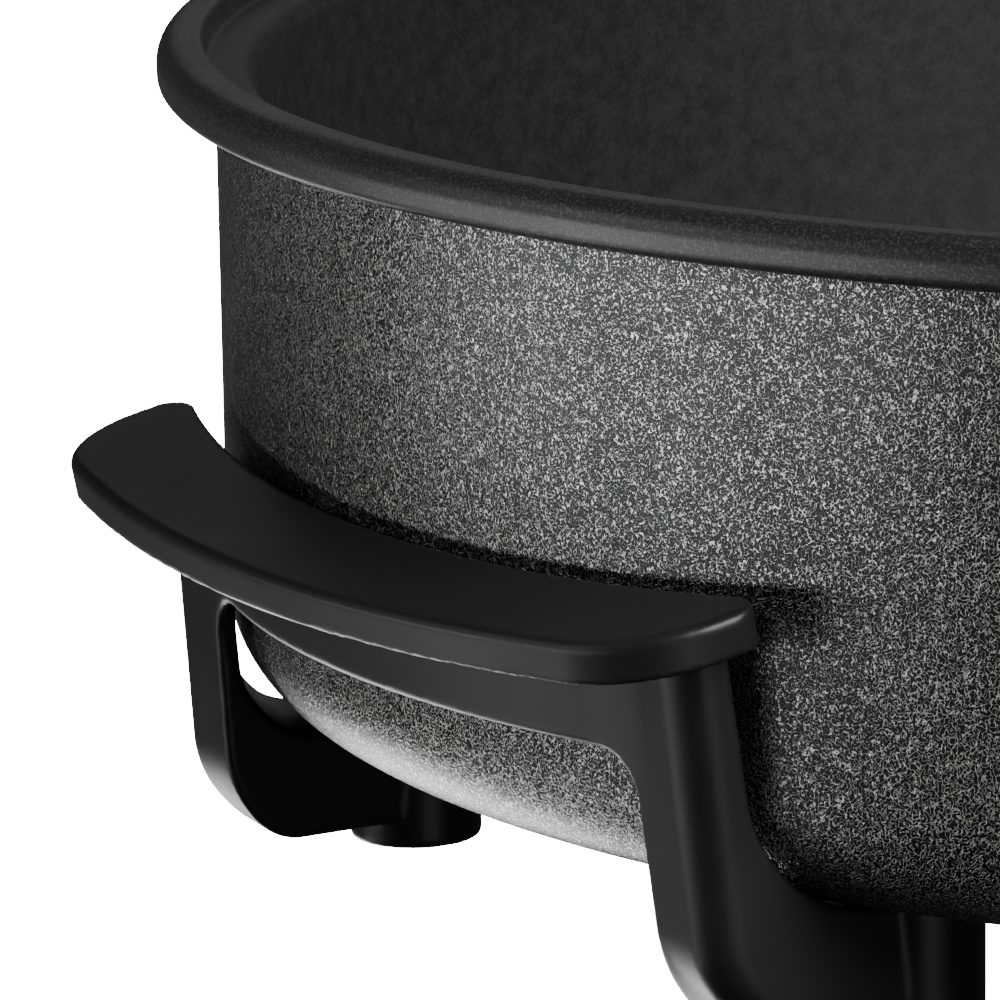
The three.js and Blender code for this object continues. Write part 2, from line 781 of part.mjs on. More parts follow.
function footBores(y) {
  return joined([
    post(footX, y, bossRadius + gap, footWebTop, postTop + overrun),
    post(footX, y, footScrewRadius + gap, 0, postTop),
    post(footX, y, counterboreRadius, -overrun, footSeat),
    post(footX, y, padRadius + gap, -overrun, postBottom + padDepth),
  ]);
}

const abovePlate = tilted(block(
  [0, -rimOuterRadius, -plateThickness - gap],
  [rimOuterRadius * 2, rimOuterRadius, rimTop],
));
const dowelHoles = tilted(joined(dowels(dowelRadius + gap, dowelLength + gap)));
const frameBlock = tipped(
  raised(frameOutline(), -frameLeanHeight * 2, rimTop), frameLean, legFace, frameLeanHeight,
);
const frameSolid = frameBlock.intersect(frontPrism(frameProfile(), -rimOuterRadius, rimOuterRadius))
  .subtract(joined([frameWell(), windowPrism()]))
  .add(joined([-1, 1].map((side) => footPost(side * footY))))
  .subtract(joined([abovePlate, dowelHoles, ...[-1, 1].map((side) => footBores(side * footY))]));

const washerLow = footSeat - gap - footWasherHeight;
const footScrewSeat = washerLow - gap;
const atFeet = [1, -1];
const footScrewPair = atFeet.map((side) => screw(
  footX, side * footY, footScrewRadius, footScrewHead, footScrewHeadHeight, footScrewSeat,
  standHeight - bossDrop + screwEngagement,
));
const footWasherPair = atFeet.map((side) => post(
  footX, side * footY, footWasherRadius, washerLow, washerLow + footWasherHeight,
).subtract(post(footX, side * footY, footScrewRadius + gap, 0, rimTop)));

const padPlugTop = footScrewSeat - footScrewHeadHeight - gap;
const footPadPair = atFeet.map((side) => joined([
  post(footX, side * footY, padRadius, 0, postBottom + padDepth - gap),
  post(footX, side * footY, counterboreRadius - gap, 0, padPlugTop),
]));

for (const [side, degrees] of [['right', 0], ['left', 180]]) {
  piece(`grip_plate_${side}`, turned(plateSolid, degrees), mouldedBlack);
  piece(`leg_frame_${side}`, turned(frameSolid, degrees), mouldedBlack);
  pieces(`foot_screw_${side}`, footScrewPair.map((solid) => turned(solid, degrees)), bareSteel);
  pieces(`foot_washer_${side}`, footWasherPair.map((solid) => turned(solid, degrees)), bareSteel);
  pieces(`foot_pad_${side}`, footPadPair.map((solid) => turned(solid, degrees)), rubberBlack);
}

// Plug-in control: a shell of straight sides and a round end, its outline inset by a wall for the inside.
function controlShape(inset) {
  const half = controlRadius - inset;
  const corner = controlCorner - inset;
  const cornerY = -controlBack - inset - corner;
  return new THREE.Shape([
    ...arcPoints(0, -controlCentreY, half, 180, 360, longSteps),
    ...arcPoints(half - corner, cornerY, corner, 0, 90, edgeSteps),
    ...arcPoints(-half + corner, cornerY, corner, 90, 180, edgeSteps),
  ]);
}

function atControlScrews(make) {
  return controlScrewSpots.flatMap(([x, y]) => [-1, 1].map((side) => make(side * x, -y)));
}

const insideFloor = controlBottom + controlWall;
const insideRoof = controlTop - controlWall;
const glandZ = controlSplit;
const glandWallY = controlCentreY + controlRadius;
const shellTopSolid = raised(controlShape(0), controlSplit, controlTop, controlEdge);
const shellBottomSolid = raised(controlShape(0), -controlSplit, -controlBottom, controlEdge)
  .mirror([0, 0, 1]);
const hollow = raised(controlShape(controlWall), insideFloor, insideRoof);
const glandCut = rod(0, glandZ, glandHole, glandWallY - controlRadius / 3, glandWallY + overrun);
const headDepth = controlScrewHeadHeight + controlWall / 2;

const nose = frontPrism(
  roundedRectangle(noseHalfWidth, elementZ - noseHeight / 2, elementZ + noseHeight / 2, socketCorner),
  noseFront, controlBack + controlWall,
);
const clipBack = clipFront + clipLength;
const clipBore = controlBack + controlWall * 2;
const earthClipThickness = 0.7;
const earthClipX = earthBladeX - gap - earthClipThickness;
const bossLow = insideFloor - controlWall / 2;
const baseBosses = atControlScrews((x, y) => post(x, y, controlBossRadius, bossLow, controlSplit));
const baseSolid = shellBottomSolid.subtract(hollow)
  .add(joined(baseBosses))
  .add(nose)
  .subtract(joined([
    glandCut,
    rod(0, elementZ, probeRadius + gap, leadEnd, clipBore),
    ...atLeads((x) => rod(x, elementZ, clipOuterRadius + gap, clipFront - gap, clipBore)),
    ...atLeads((x) => rod(x, elementZ, pinRadius + gap, noseFront - overrun, clipFront)),
    block(
      [-noseHalfWidth - overrun, -clipBack - gap, bladeLow - gap],
      [-earthClipX + gap, -clipFront + gap, bladeHigh + gap],
    ),
    ...atControlScrews((x, y) => post(x, y, controlScrewRadius + gap, 0, controlTop)),
    ...atControlScrews((x, y) => post(x, y, controlScrewHead + gap, 0, controlBottom + headDepth)),
  ]));
piece('control_base', baseSolid, mouldedBlack);

const coverLow = controlSplit + gap;
const lampHole = post(0, -lampY, lampRadius + gap, insideRoof - gap, controlTop + overrun);
const dialHole = post(0, -controlCentreY, shaftRadius + gap, controlSplit, controlTop + overrun);
const bossHigh = insideRoof + gap;
const coverBossSolids = atControlScrews((x, y) => post(x, y, controlBossRadius, controlSplit, bossHigh));
const coverBoreTop = controlBottom + controlScrewLength + headDepth;
const coverSolid = shellTopSolid.subtract(hollow).add(joined(coverBossSolids))
  .subtract(joined([
    lampHole,
    dialHole,
    glandCut,
    block([-overrun * 2, -controlBack * 2, 0], [overrun * 2, 0, coverLow]),
    ...atControlScrews((x, y) => post(x, y, controlScrewRadius + gap, 0, coverBoreTop)),
  ]));
piece('control_cover', coverSolid, mouldedBlack);

const controlScrewSeat = controlBottom + headDepth - gap;
pieces(
  'control_screw',
  atControlScrews((x, y) => screw(
    x, y, controlScrewRadius, controlScrewHead, controlScrewHeadHeight, controlScrewSeat,
    controlScrewSeat + controlScrewLength - gap,
  )),
  bareSteel,
);

// Dial with a skirt for its numbers and a fluted grip, and the shaft with the cam that it turns.
const dialLow = controlTop + gap;
const dialTop = dialLow + dialHeight;
const dialEdge = 1.5;
const shaftTop = dialTop - controlWall;
const dialBody = turnedSolid([
  new THREE.Vector2(0, dialLow),
  new THREE.Vector2(dialRadius, dialLow),
  new THREE.Vector2(dialRadius, dialLow + dialSkirtHeight - dialEdge),
  new THREE.Vector2(dialRadius - dialEdge, dialLow + dialSkirtHeight),
  new THREE.Vector2(dialGripRadius + dialEdge, dialLow + dialSkirtHeight + dialEdge / 2),
  new THREE.Vector2(dialGripRadius, dialLow + dialSkirtHeight + dialEdge),
  new THREE.Vector2(dialGripRadius - dialEdge / 2, dialTop - dialEdge),
  new THREE.Vector2(dialGripRadius - dialEdge * 1.5, dialTop),
  new THREE.Vector2(0, dialTop),
], wideSegments * 2, 0, -controlCentreY);
const flutes = Array.from({ length: dialFlutes }, (_, i) => {
  const angle = (i * 2 * Math.PI) / dialFlutes;
  const distance = dialGripRadius + dialFluteRadius / 2;
  return post(
    distance * Math.cos(angle), -controlCentreY + distance * Math.sin(angle), dialFluteRadius,
    dialLow + dialSkirtHeight + dialEdge * 2, dialTop + overrun, tubeSides,
  );
});
piece(
  'control_dial',
  dialBody.subtract(joined([
    ...flutes,
    post(0, -controlCentreY, shaftRadius + gap, 0, shaftTop + gap),
  ])),
  mouldedBlack,
);
piece(
  'dial_shaft',
  joined([
    post(0, -controlCentreY, shaftRadius, camBottom, shaftTop),
    post(0, -controlCentreY, camRadius, camBottom, camBottom + camHeight),
  ]),
  bareSteel,
);

// Heating light: a lens with a flange under the shell's roof, and the glow lamp under it.
const lampFlangeTop = insideRoof - gap;
piece(
  'lamp_lens',
  joined([
    post(0, -lampY, lampRadius, lampFlangeTop - lampFlange, controlTop + lampProud),
    post(0, -lampY, lampRadius + lampFlangeReach, lampFlangeTop - lampFlange, lampFlangeTop),
  ]),
  { color: 0xd8452e, roughness: 0.2, metalness: 0 },
);
const lampBodyTop = lampFlangeTop - lampFlange - gap;
piece(
  'lamp_body',
  post(0, -lampY, lampBodyRadius, lampBodyTop - lampBodyLength, lampBodyTop),
  { color: 0xe8e4dc, roughness: 0.15, metalness: 0 },
);

// Probe and the sockets for the pins and the earth blade.
piece('probe', rod(0, elementZ, probeRadius, probeTip, probeBackEnd), bareSteel);
pieces(
  'contact_clip',
  atLeads((x) => rod(x, elementZ, clipOuterRadius, clipFront, clipBack)
    .subtract(rod(x, elementZ, clipInnerRadius, leadEnd, controlBack + overrun))),
  brass,
);
piece(
  'earth_clip',
  block(
    [-earthClipX - earthClipThickness, -clipBack, bladeLow],
    [-earthClipX, -clipFront, bladeHigh],
  ),
  brass,
);

// Thermostat switch: the steel carrier, the ceramic stack, the bimetal strip and the contact arm.
const carrierFloor = insideFloor + gap;
const carrierTop = carrierFloor + switchSheet;
const shelfTop = switchShelfHeight + switchSheet;
const carrierWallTop = elementZ + probeRadius * 2;
const shelfEnd = controlCentreY - switchFrameHalfWidth;
const carrierShape = new THREE.Shape([
  [-switchFrameBack, carrierFloor],
  [-switchFrameFront, carrierFloor],
  [-switchFrameFront, carrierWallTop],
  [-switchFrameFront - switchSheet, carrierWallTop],
  [-switchFrameFront - switchSheet, carrierTop],
  [-switchFrameBack + switchSheet, carrierTop],
  [-switchFrameBack + switchSheet, switchShelfHeight],
  [-shelfEnd, switchShelfHeight],
  [-shelfEnd, shelfTop],
  [-switchFrameBack, shelfTop],
].map(([y, z]) => new THREE.Vector2(y, z)));
const carrierSolid = sidePrism(carrierShape, -switchFrameHalfWidth, switchFrameHalfWidth)
  .subtract(post(0, -controlCentreY, shaftRadius + gap, switchShelfHeight - gap, shelfTop + gap));
piece('switch_frame', carrierSolid, darkSteel);

const stackTop = carrierTop + gap + stackHeight;
const bimetalLow = stackTop + gap;
const spacerLow = bimetalLow + bimetalThickness + gap;
const armLow = spacerLow + stackSpacerHeight + gap;
const stackBlock = (low, high) => block(
  [-stackHalfWidth, -stackFront - stackLength, low], [stackHalfWidth, -stackFront, high],
);
piece('switch_stack', stackBlock(carrierTop + gap, stackTop), ceramic);
piece('stack_spacer', stackBlock(spacerLow, spacerLow + stackSpacerHeight), ceramic);
piece(
  'bimetal_strip',
  block(
    [-stripHalfWidth, -stripEnd, bimetalLow],
    [stripHalfWidth, -stackFront, bimetalLow + bimetalThickness],
  ),
  brass,
);
piece(
  'contact_arm',
  joined([
    block([-stripHalfWidth, -stripEnd, armLow], [stripHalfWidth, -stackFront, armLow + contactArmThickness]),
    post(0, -rivetY, rivetRadius, armLow - rivetHeight, armLow + contactArmThickness / 2),
  ]),
  brass,
);
piece(
  'terminal_block',
  block(
    [-terminalHalfWidth, -terminalFront - terminalLength, carrierFloor],
    [terminalHalfWidth, -terminalFront, carrierFloor + terminalHeight],
  ),
  ceramic,
);

// Gland for the supply cord: an inner flange, a neck through the wall and a tapered sleeve with its bore.
const glandInside = glandWallY - controlWall - glandFlangeLength - glandPlay;
piece(
  'cord_gland',
  joined([
    rod(0, glandZ, glandFlange, glandInside, glandInside + glandFlangeLength),
    rod(0, glandZ, glandRadius, glandInside, glandWallY + glandFlangeLength),
    rod(0, glandZ, glandFlange, glandWallY + gap, glandWallY + glandLength, glandTipRadius),
  ]).subtract(rod(0, glandZ, glandBore, glandInside - overrun, glandWallY + glandLength + overrun)),
  rubberBlack,
);

// The origin is midway between the gland's end and the back of the rim.
group.position.y = (glandWallY + glandLength - rimOuterRadius) / 2;

export default group;
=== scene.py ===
import math

import bpy
import numpy as np
from mathutils import Matrix, Vector


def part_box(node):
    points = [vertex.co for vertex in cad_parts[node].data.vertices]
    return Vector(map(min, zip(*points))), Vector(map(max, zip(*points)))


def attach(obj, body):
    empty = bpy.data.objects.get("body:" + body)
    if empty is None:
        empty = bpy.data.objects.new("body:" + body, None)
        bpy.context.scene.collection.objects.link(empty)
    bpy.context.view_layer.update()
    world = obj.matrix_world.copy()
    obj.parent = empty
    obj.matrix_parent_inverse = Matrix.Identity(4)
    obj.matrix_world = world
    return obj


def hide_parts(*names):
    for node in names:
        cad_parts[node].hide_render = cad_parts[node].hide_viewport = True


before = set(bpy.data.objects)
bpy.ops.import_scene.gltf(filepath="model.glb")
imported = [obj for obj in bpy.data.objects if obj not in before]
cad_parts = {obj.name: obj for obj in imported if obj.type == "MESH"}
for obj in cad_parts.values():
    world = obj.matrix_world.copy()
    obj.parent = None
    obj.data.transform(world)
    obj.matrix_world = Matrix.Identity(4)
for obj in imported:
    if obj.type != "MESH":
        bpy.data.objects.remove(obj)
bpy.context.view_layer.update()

# The view: from in front and to the left of the pan, a little above its rim, with a long lens close on the
# left handle. Lengths are millimetres in every section, and each mesh turns them into metres once.
PAN_Y = 64.85
RIM_Z = 110.3
CAMERA_PLACE = (-744.1, PAN_Y - 1016.8, RIM_Z + 204.96)
CAMERA_TURN_LEFT = 6.412 - 36.2
CAMERA_DOWN = 12.237
CAMERA_ROLL = -1.092
CAMERA_SENSOR = 36
CAMERA_FOCUS = 9.293 * CAMERA_SENSOR


def camera_axes(left, down, roll):
    """Right, up and back as columns: a level view along +Y turned left and down, then rolled about itself."""
    left, down, roll = (math.radians(a) for a in (left, down, roll))
    ahead = Vector((-math.sin(left) * math.cos(down), math.cos(left) * math.cos(down), -math.sin(down)))
    right = Vector((math.cos(left), math.sin(left), 0))
    up = right.cross(ahead)
    turned_right = math.cos(roll) * right + math.sin(roll) * up
    turned_up = math.cos(roll) * up - math.sin(roll) * right
    return Matrix((turned_right, turned_up, -ahead)).transposed().to_4x4()


camera = bpy.data.objects.new("camera", bpy.data.cameras.new("camera"))
camera.data.sensor_width = CAMERA_SENSOR
camera.data.lens = CAMERA_FOCUS
camera.data.clip_start = 0.05
camera.data.clip_end = 50
camera.matrix_world = (
    Matrix.Translation(Vector(CAMERA_PLACE) / 1000) @ camera_axes(CAMERA_TURN_LEFT, CAMERA_DOWN, CAMERA_ROLL)
)
bpy.context.scene.collection.objects.link(camera)
bpy.context.scene.camera = camera

# The studio: a pale floor in a dim surround, and soft panels of light round the pan. Some of them are below
# the level of the floor, which casts no shadow, and three strips lie on the floor near the left handle:
# together these give the wall its sheen. The panel above lights the rim and the inside.
LIGHTS = {
    # name: (azimuth, elevation, distance in m, width and height in m, watts)
    "bounce_near": (98, -36, 1.2, (0.5, 0.4), 4.2),
    "bounce_left": (146, -26, 1.3, (0.36, 0.4), 0.9),
    "bounce_middle": (164, -20, 1.3, (0.45, 0.5), 0.6),
    "bounce_front": (262, -16, 1.4, (0.6, 0.5), 0.8),
    "panel_left": (160, 24, 1.3, (0.7, 0.5), 1.3),
    "panel_behind": (62, 22, 1.6, (1.0, 0.5), 0.4),
    "panel_right": (285, 34, 1.5, (0.8, 0.8), 24),
    "panel_above": (20, 85, 1.3, (1.1, 1.1), 1.0),
}
FLOOR_GLOWS = {
    # name: (azimuth, nearest and farthest distance in m, width in m, watts)
    "glow_left": (155, 0.54, 1.3, 0.3, 4.0),
    "glow_middle": (166, 0.54, 1.3, 0.4, 4.8),
    "glow_right": (179, 0.54, 1.3, 0.36, 3.4),
}
GLOW_LIFT = 0.001
SURROUND = 0.03
FLOOR_HALF = 4
FLOOR_GLOW = 30.0


class Value:
    """Something that varies over a surface: arithmetic on it adds Math nodes to its finish."""

    def __init__(self, finish, socket):
        self.finish = finish
        self.socket = socket

    def math(self, operation, *others):
        values = dict(enumerate((self, *others)))
        return self.finish.node("ShaderNodeMath", values, operation=operation)

    def __add__(self, other):
        return self.math("ADD", other)

    def __sub__(self, other):
        return self.math("SUBTRACT", other)

    def __rsub__(self, other):
        return self.finish.node("ShaderNodeMath", {0: other, 1: self}, operation="SUBTRACT")

    def __mul__(self, other):
        return self.math("MULTIPLY", other)

    def __abs__(self):
        return self.math("ABSOLUTE")

    __radd__ = __add__
    __rmul__ = __mul__


class Finish:
    """A material with one Principled shader, whose plain sockets take numbers and whose rest takes Values."""

    def __init__(self, name, colour, roughness, metallic=0.0, **plain):
        self.material = bpy.data.materials.new(name)
        self.material.use_nodes = True
        self.tree = self.material.node_tree
        self.tree.nodes.clear()
        self.shader = self.tree.nodes.new("ShaderNodeBsdfPrincipled")
        output = self.tree.nodes.new("ShaderNodeOutputMaterial")
        self.tree.links.new(self.shader.outputs[0], output.inputs[0])
        self.feed(Base_Color=colour, Roughness=roughness, Metallic=metallic, **plain)

    def put(self, socket, value):
        if isinstance(value, Value):
            self.tree.links.new(value.socket, socket)
        elif socket.type == "RGBA" and not hasattr(value, "__len__"):
            socket.default_value = (value, value, value, 1)
        elif socket.type == "RGBA":
            socket.default_value = (*value[:3], 1)
        else:
            socket.default_value = value

    def feed(self, **values):
        for name, value in values.items():
            self.put(self.shader.inputs[name.replace("_", " ")], value)

    def node(self, kind, values=None, output=0, **settings):
        node = self.tree.nodes.new(kind)
        for name, setting in settings.items():
            setattr(node, name, setting)
        for name, value in (values or {}).items():
            self.put(node.inputs[name], value)
        return Value(self, node.outputs[output])

    def place(self):
        return self.node("ShaderNodeTexCoord", output="Object")

    def noise(self, scale, detail=2.0, rough=0.5, distortion=0.0, at=None):
        values = {"Vector": at or self.place(), "Scale": scale, "Detail": detail,
                  "Roughness": rough, "Distortion": distortion}
        return self.node("ShaderNodeTexNoise", values)

    def ramp(self, value, low, high, to_low=0.0, to_high=1.0, smooth=True):
        kind = "SMOOTHSTEP" if smooth else "LINEAR"
        values = {"Value": value, "From Min": low, "From Max": high, "To Min": to_low, "To Max": to_high}
        return self.node("ShaderNodeMapRange", values, interpolation_type=kind, clamp=True)

    def between(self, share, first, second):
        return self.node("ShaderNodeMix", {0: share, 6: first, 7: second}, output=2, data_type="RGBA")

    def bump(self, height, depth, strength=1.0):
        values = {"Height": height, "Distance": depth / 1000, "Strength": strength}
        self.feed(Normal=self.node("ShaderNodeBump", values))


floor_mesh = bpy.data.meshes.new("studio_floor")
floor_corners = [(x * FLOOR_HALF, y * FLOOR_HALF, 0) for x, y in ((-1, -1), (1, -1), (1, 1), (-1, 1))]
floor_mesh.from_pydata(floor_corners, [], [(0, 1, 2, 3)])
studio_floor = bpy.data.objects.new("studio_floor", floor_mesh)
bpy.context.scene.collection.objects.link(studio_floor)
pale = Finish("pale_floor", 0.3, 0.9, Emission_Strength=FLOOR_GLOW)
pale.feed(Emission_Color=pale.between(pale.noise(3), (0.98, 0.98, 0.98), (1, 1, 1)))
floor_mesh.materials.append(pale.material)
studio_floor.visible_glossy = False
studio_floor.visible_diffuse = False
studio_floor.visible_shadow = False

world = bpy.data.worlds.new("surround")
bpy.context.scene.world = world
world.use_nodes = True
world.node_tree.nodes["Background"].inputs["Color"].default_value = (1, 1, 1, 1)
world.node_tree.nodes["Background"].inputs["Strength"].default_value = SURROUND

for light_name, (azimuth, elevation, distance, size, watts) in LIGHTS.items():
    light = bpy.data.lights.new(light_name, "AREA")
    light.shape = "RECTANGLE"
    light.size, light.size_y = size
    light.energy = watts
    lamp = bpy.data.objects.new(light_name, light)
    bearing, rise = math.radians(azimuth), math.radians(elevation)
    away = Vector((math.cos(rise) * math.cos(bearing), math.cos(rise) * math.sin(bearing), math.sin(rise)))
    lamp.location = Vector((0, PAN_Y / 1000, RIM_Z / 2000)) + distance * away
    lamp.rotation_euler = away.to_track_quat("Z", "Y").to_euler()
    lamp.visible_camera = False
    bpy.context.scene.collection.objects.link(lamp)

for light_name, (azimuth, nearest, farthest, width, watts) in FLOOR_GLOWS.items():
    light = bpy.data.lights.new(light_name, "AREA")
    light.shape = "RECTANGLE"
    light.size, light.size_y = width, farthest - nearest
    light.energy = watts
    glow = bpy.data.objects.new(light_name, light)
    bearing, middle = math.radians(azimuth), (nearest + farthest) / 2
    glow.location = (middle * math.cos(bearing), PAN_Y / 1000 + middle * math.sin(bearing), GLOW_LIFT)
    glow.rotation_euler = (math.pi, 0, bearing - math.pi / 2)
    glow.visible_camera = False
    bpy.context.scene.collection.objects.link(glow)

# The pan: one aluminium die casting. Silver-vein wrinkle powder coat outside, from the foot of the rim down
# to the floor, and a smooth, finely grained non-stick coat over the rolled rim, the lid ledge and the inside.
STAND = 20.3
WALL_R = 178.4
BOTTOM_ROUND = 15.2
INSIDE_R = 173.0
INSIDE_ROUND = 10.5
FLOOR_TOP = 25.3
RIM_INNER_R = 180.0
RIM_OUTER_R = 186.3
RIM_ROLL = 3.5
LIP_ROUND = 1.5
LIP_Z = RIM_Z - 6.5
LEDGE_Z = RIM_Z - 3.7
RIM_EDGE = 0.7
CORNER_ROUND = 0.9
LEDGE_INSET = 1.1
LEDGE_ROUND = 3.2
PAN_STEPS = 560


def line(start, end, steps):
    """Points spaced evenly from start to end, without the end."""
    share = np.arange(steps)[:, None] / steps
    return np.array(start) + share * (np.array(end) - np.array(start))


def arc(centre, radius, start, end, steps):
    """Points on a circle between two angles in degrees, without the last."""
    angle = np.radians(start + (end - start) * np.arange(steps) / steps)
    return np.array(centre) + radius * np.stack([np.cos(angle), np.sin(angle)], 1)


def add_piece(name, points, faces, finishes, body="root", face_finish=None):
    """Makes a mesh from points in millimetres and faces of four corners, three where the last is -1."""
    mesh = bpy.data.meshes.new(name)
    sides = np.where(faces[:, 3] < 0, 3, 4)
    corners = faces.ravel()
    corners = corners[corners >= 0]
    mesh.vertices.add(len(points))
    mesh.vertices.foreach_set("co", (np.asarray(points) / 1000).ravel())
    mesh.loops.add(len(corners))
    mesh.loops.foreach_set("vertex_index", corners)
    mesh.polygons.add(len(faces))
    mesh.polygons.foreach_set("loop_start", np.concatenate([[0], np.cumsum(sides)[:-1]]))
    mesh.polygons.foreach_set("loop_total", sides)
    for finish in finishes:
        mesh.materials.append(finish.material)
    if face_finish is not None:
        mesh.polygons.foreach_set("material_index", face_finish)
    mesh.update(calc_edges=True)
    mesh.polygons.foreach_set("use_smooth", np.ones(len(faces), bool))
    mesh.validate()
    item = bpy.data.objects.new(name, mesh)
    bpy.context.scene.collection.objects.link(item)
    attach(item, body)
    return item


def turned(profile, steps, centre=(0, 0)):
    """Turns a profile of radius and height round an upright axis: x = r cos t, y = r sin t, z = h. The
    profile starts and ends on the axis, where each ring closes to one point."""
    angle = 2 * np.pi * np.arange(steps) / steps
    ring = np.stack([np.cos(angle), np.sin(angle)], 1)
    middle = profile[1:-1]
    rings = np.concatenate([
        middle[:, None, :1] * ring[None] + np.array(centre),
        np.repeat(middle[:, None, 1:], steps, 1),
    ], 2)
    points = np.concatenate([rings.reshape(-1, 3), [(*centre, profile[0, 1]), (*centre, profile[-1, 1])]])
    i, j = np.meshgrid(np.arange(len(middle) - 1), np.arange(steps), indexing="ij")
    k = (j + 1) % steps
    quads = np.stack([i * steps + j, i * steps + k, (i + 1) * steps + k, (i + 1) * steps + j], -1)
    turn = np.arange(steps)
    after = (turn + 1) % steps
    last = (len(middle) - 1) * steps
    start_pole, end_pole = len(points) - 2, len(points) - 1
    none = np.full(steps, -1)
    first_cap = np.stack([np.full(steps, start_pole), after, turn, none], 1)
    last_cap = np.stack([np.full(steps, end_pole), last + turn, last + after, none], 1)
    return points, np.concatenate([quads.reshape(-1, 4), first_cap, last_cap])


def vein_coat():
    """Silver-vein powder coat: a dense net of thin raised threads, the lines where a noise passes its middle
    value, over a dark satin ground. Threads run about half a millimetre apart."""
    coat = Finish("silver_vein_coat", 0.1, 0.34, 0.95)
    at = coat.place()
    threads = 1 - coat.ramp(abs(coat.noise(2150, 0.5, 0.5, 0.3, at) - 0.5), 0.0, 0.08)
    threads = threads * coat.ramp(coat.noise(1300, 1.0, 0.5, 0.0, at), 0.3, 0.55, 0.45, 1.0)
    mottle = coat.ramp(coat.noise(60, 3.0, 0.6, 0.0, at), 0.3, 0.7)
    ground = coat.between(mottle, (0.034, 0.0344, 0.035), (0.042, 0.0424, 0.043))
    coat.feed(Base_Color=coat.between(threads, ground, (0.86, 0.86, 0.85)))
    coat.feed(Roughness=coat.ramp(threads, 0, 1, 0.34, 0.27, False))
    coat.bump(threads, 0.03)
    return coat


def rim_coat():
    """Smooth satin coat with a fine sandy grain that glints."""
    coat = Finish("rim_coat", 0.03, 0.4, 0.25, Specular_IOR_Level=0.8)
    at = coat.place()
    grain = coat.noise(2600, 2.0, 0.6, 0.0, at)
    speck = coat.ramp(grain, 0.48, 0.68)
    coat.feed(Base_Color=coat.between(speck, (0.028, 0.0282, 0.0287), (0.09, 0.09, 0.092)))
    coat.feed(Roughness=coat.ramp(coat.noise(40, 2.0, 0.5, 0.0, at), 0.3, 0.7, 0.38, 0.44))
    coat.bump(grain, 0.02)
    return coat


def inside_coat():
    """Dark satin non-stick coat with a faint sprayed mottle and fine grain."""
    coat = Finish("inside_coat", 0.02, 0.45, 0.1, Specular_IOR_Level=0.7)
    at = coat.place()
    mottle = coat.noise(300, 4.0, 0.65, 0.0, at)
    grain = coat.noise(1500, 3.0, 0.6, 0.0, at)
    share = coat.ramp(mottle * 0.4 + grain * 0.6, 0.35, 0.65)
    coat.feed(Base_Color=coat.between(share, (0.014, 0.014, 0.0145), (0.029, 0.029, 0.03)))
    coat.feed(Roughness=coat.ramp(mottle, 0.3, 0.7, 0.46, 0.54))
    coat.bump(grain, 0.02)
    return coat


underside = np.concatenate([
    line((0, STAND), (WALL_R - BOTTOM_ROUND, STAND), 12),
    arc((WALL_R - BOTTOM_ROUND, STAND + BOTTOM_ROUND), BOTTOM_ROUND, -90, 0, 22),
    line((WALL_R, STAND + BOTTOM_ROUND), (WALL_R, LIP_Z - CORNER_ROUND), 20),
    arc((WALL_R + CORNER_ROUND, LIP_Z - CORNER_ROUND), CORNER_ROUND, 180, 90, 4),
    line((WALL_R + CORNER_ROUND, LIP_Z), (RIM_OUTER_R - LIP_ROUND, LIP_Z), 5),
])
rim = np.concatenate([
    arc((RIM_OUTER_R - LIP_ROUND, LIP_Z + LIP_ROUND), LIP_ROUND, -90, 0, 8),
    line((RIM_OUTER_R, LIP_Z + LIP_ROUND), (RIM_OUTER_R, RIM_Z - RIM_ROLL), 4),
    arc((RIM_OUTER_R - RIM_ROLL, RIM_Z - RIM_ROLL), RIM_ROLL, 0, 90, 18),
    line((RIM_OUTER_R - RIM_ROLL, RIM_Z), (RIM_INNER_R + RIM_EDGE + 0.2, RIM_Z), 5),
    arc((RIM_INNER_R + RIM_EDGE, RIM_Z - RIM_EDGE), RIM_EDGE, 90, 180, 6),
])
ledge_r = RIM_INNER_R - LEDGE_INSET
ledge_round_at = (INSIDE_R + LEDGE_ROUND, LEDGE_Z - LEDGE_ROUND - 0.1)
inner_corner = (INSIDE_R - INSIDE_ROUND, FLOOR_TOP + INSIDE_ROUND)
inside = np.concatenate([
    line((RIM_INNER_R, RIM_Z - RIM_EDGE), (RIM_INNER_R - 0.2, LEDGE_Z + CORNER_ROUND), 4),
    arc((ledge_r, LEDGE_Z + CORNER_ROUND), CORNER_ROUND, 0, -90, 5),
    line((ledge_r, LEDGE_Z), (INSIDE_R + LEDGE_ROUND, LEDGE_Z - 0.1), 4),
    arc(ledge_round_at, LEDGE_ROUND, 90, 180, 12),
    line((INSIDE_R, ledge_round_at[1]), (INSIDE_R, inner_corner[1]), 14),
    arc(inner_corner, INSIDE_ROUND, 0, -90, 16),
    line((inner_corner[0], FLOOR_TOP), (0, FLOOR_TOP), 10),
    [(0, FLOOR_TOP)],
])
points, faces = turned(np.concatenate([underside, rim, inside]), PAN_STEPS, (0, PAN_Y))
row = faces[:, :3].min(1) // PAN_STEPS
coats = np.where(row < len(underside) - 1, 0, np.where(row < len(underside) + len(rim) - 1, 1, 2))
coats[-2 * PAN_STEPS:-PAN_STEPS] = 0
coats[-PAN_STEPS:] = 2
pan = add_piece("pan", points, faces, [vein_coat(), rim_coat(), inside_coat()], face_finish=coats)
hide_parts("pan_body")

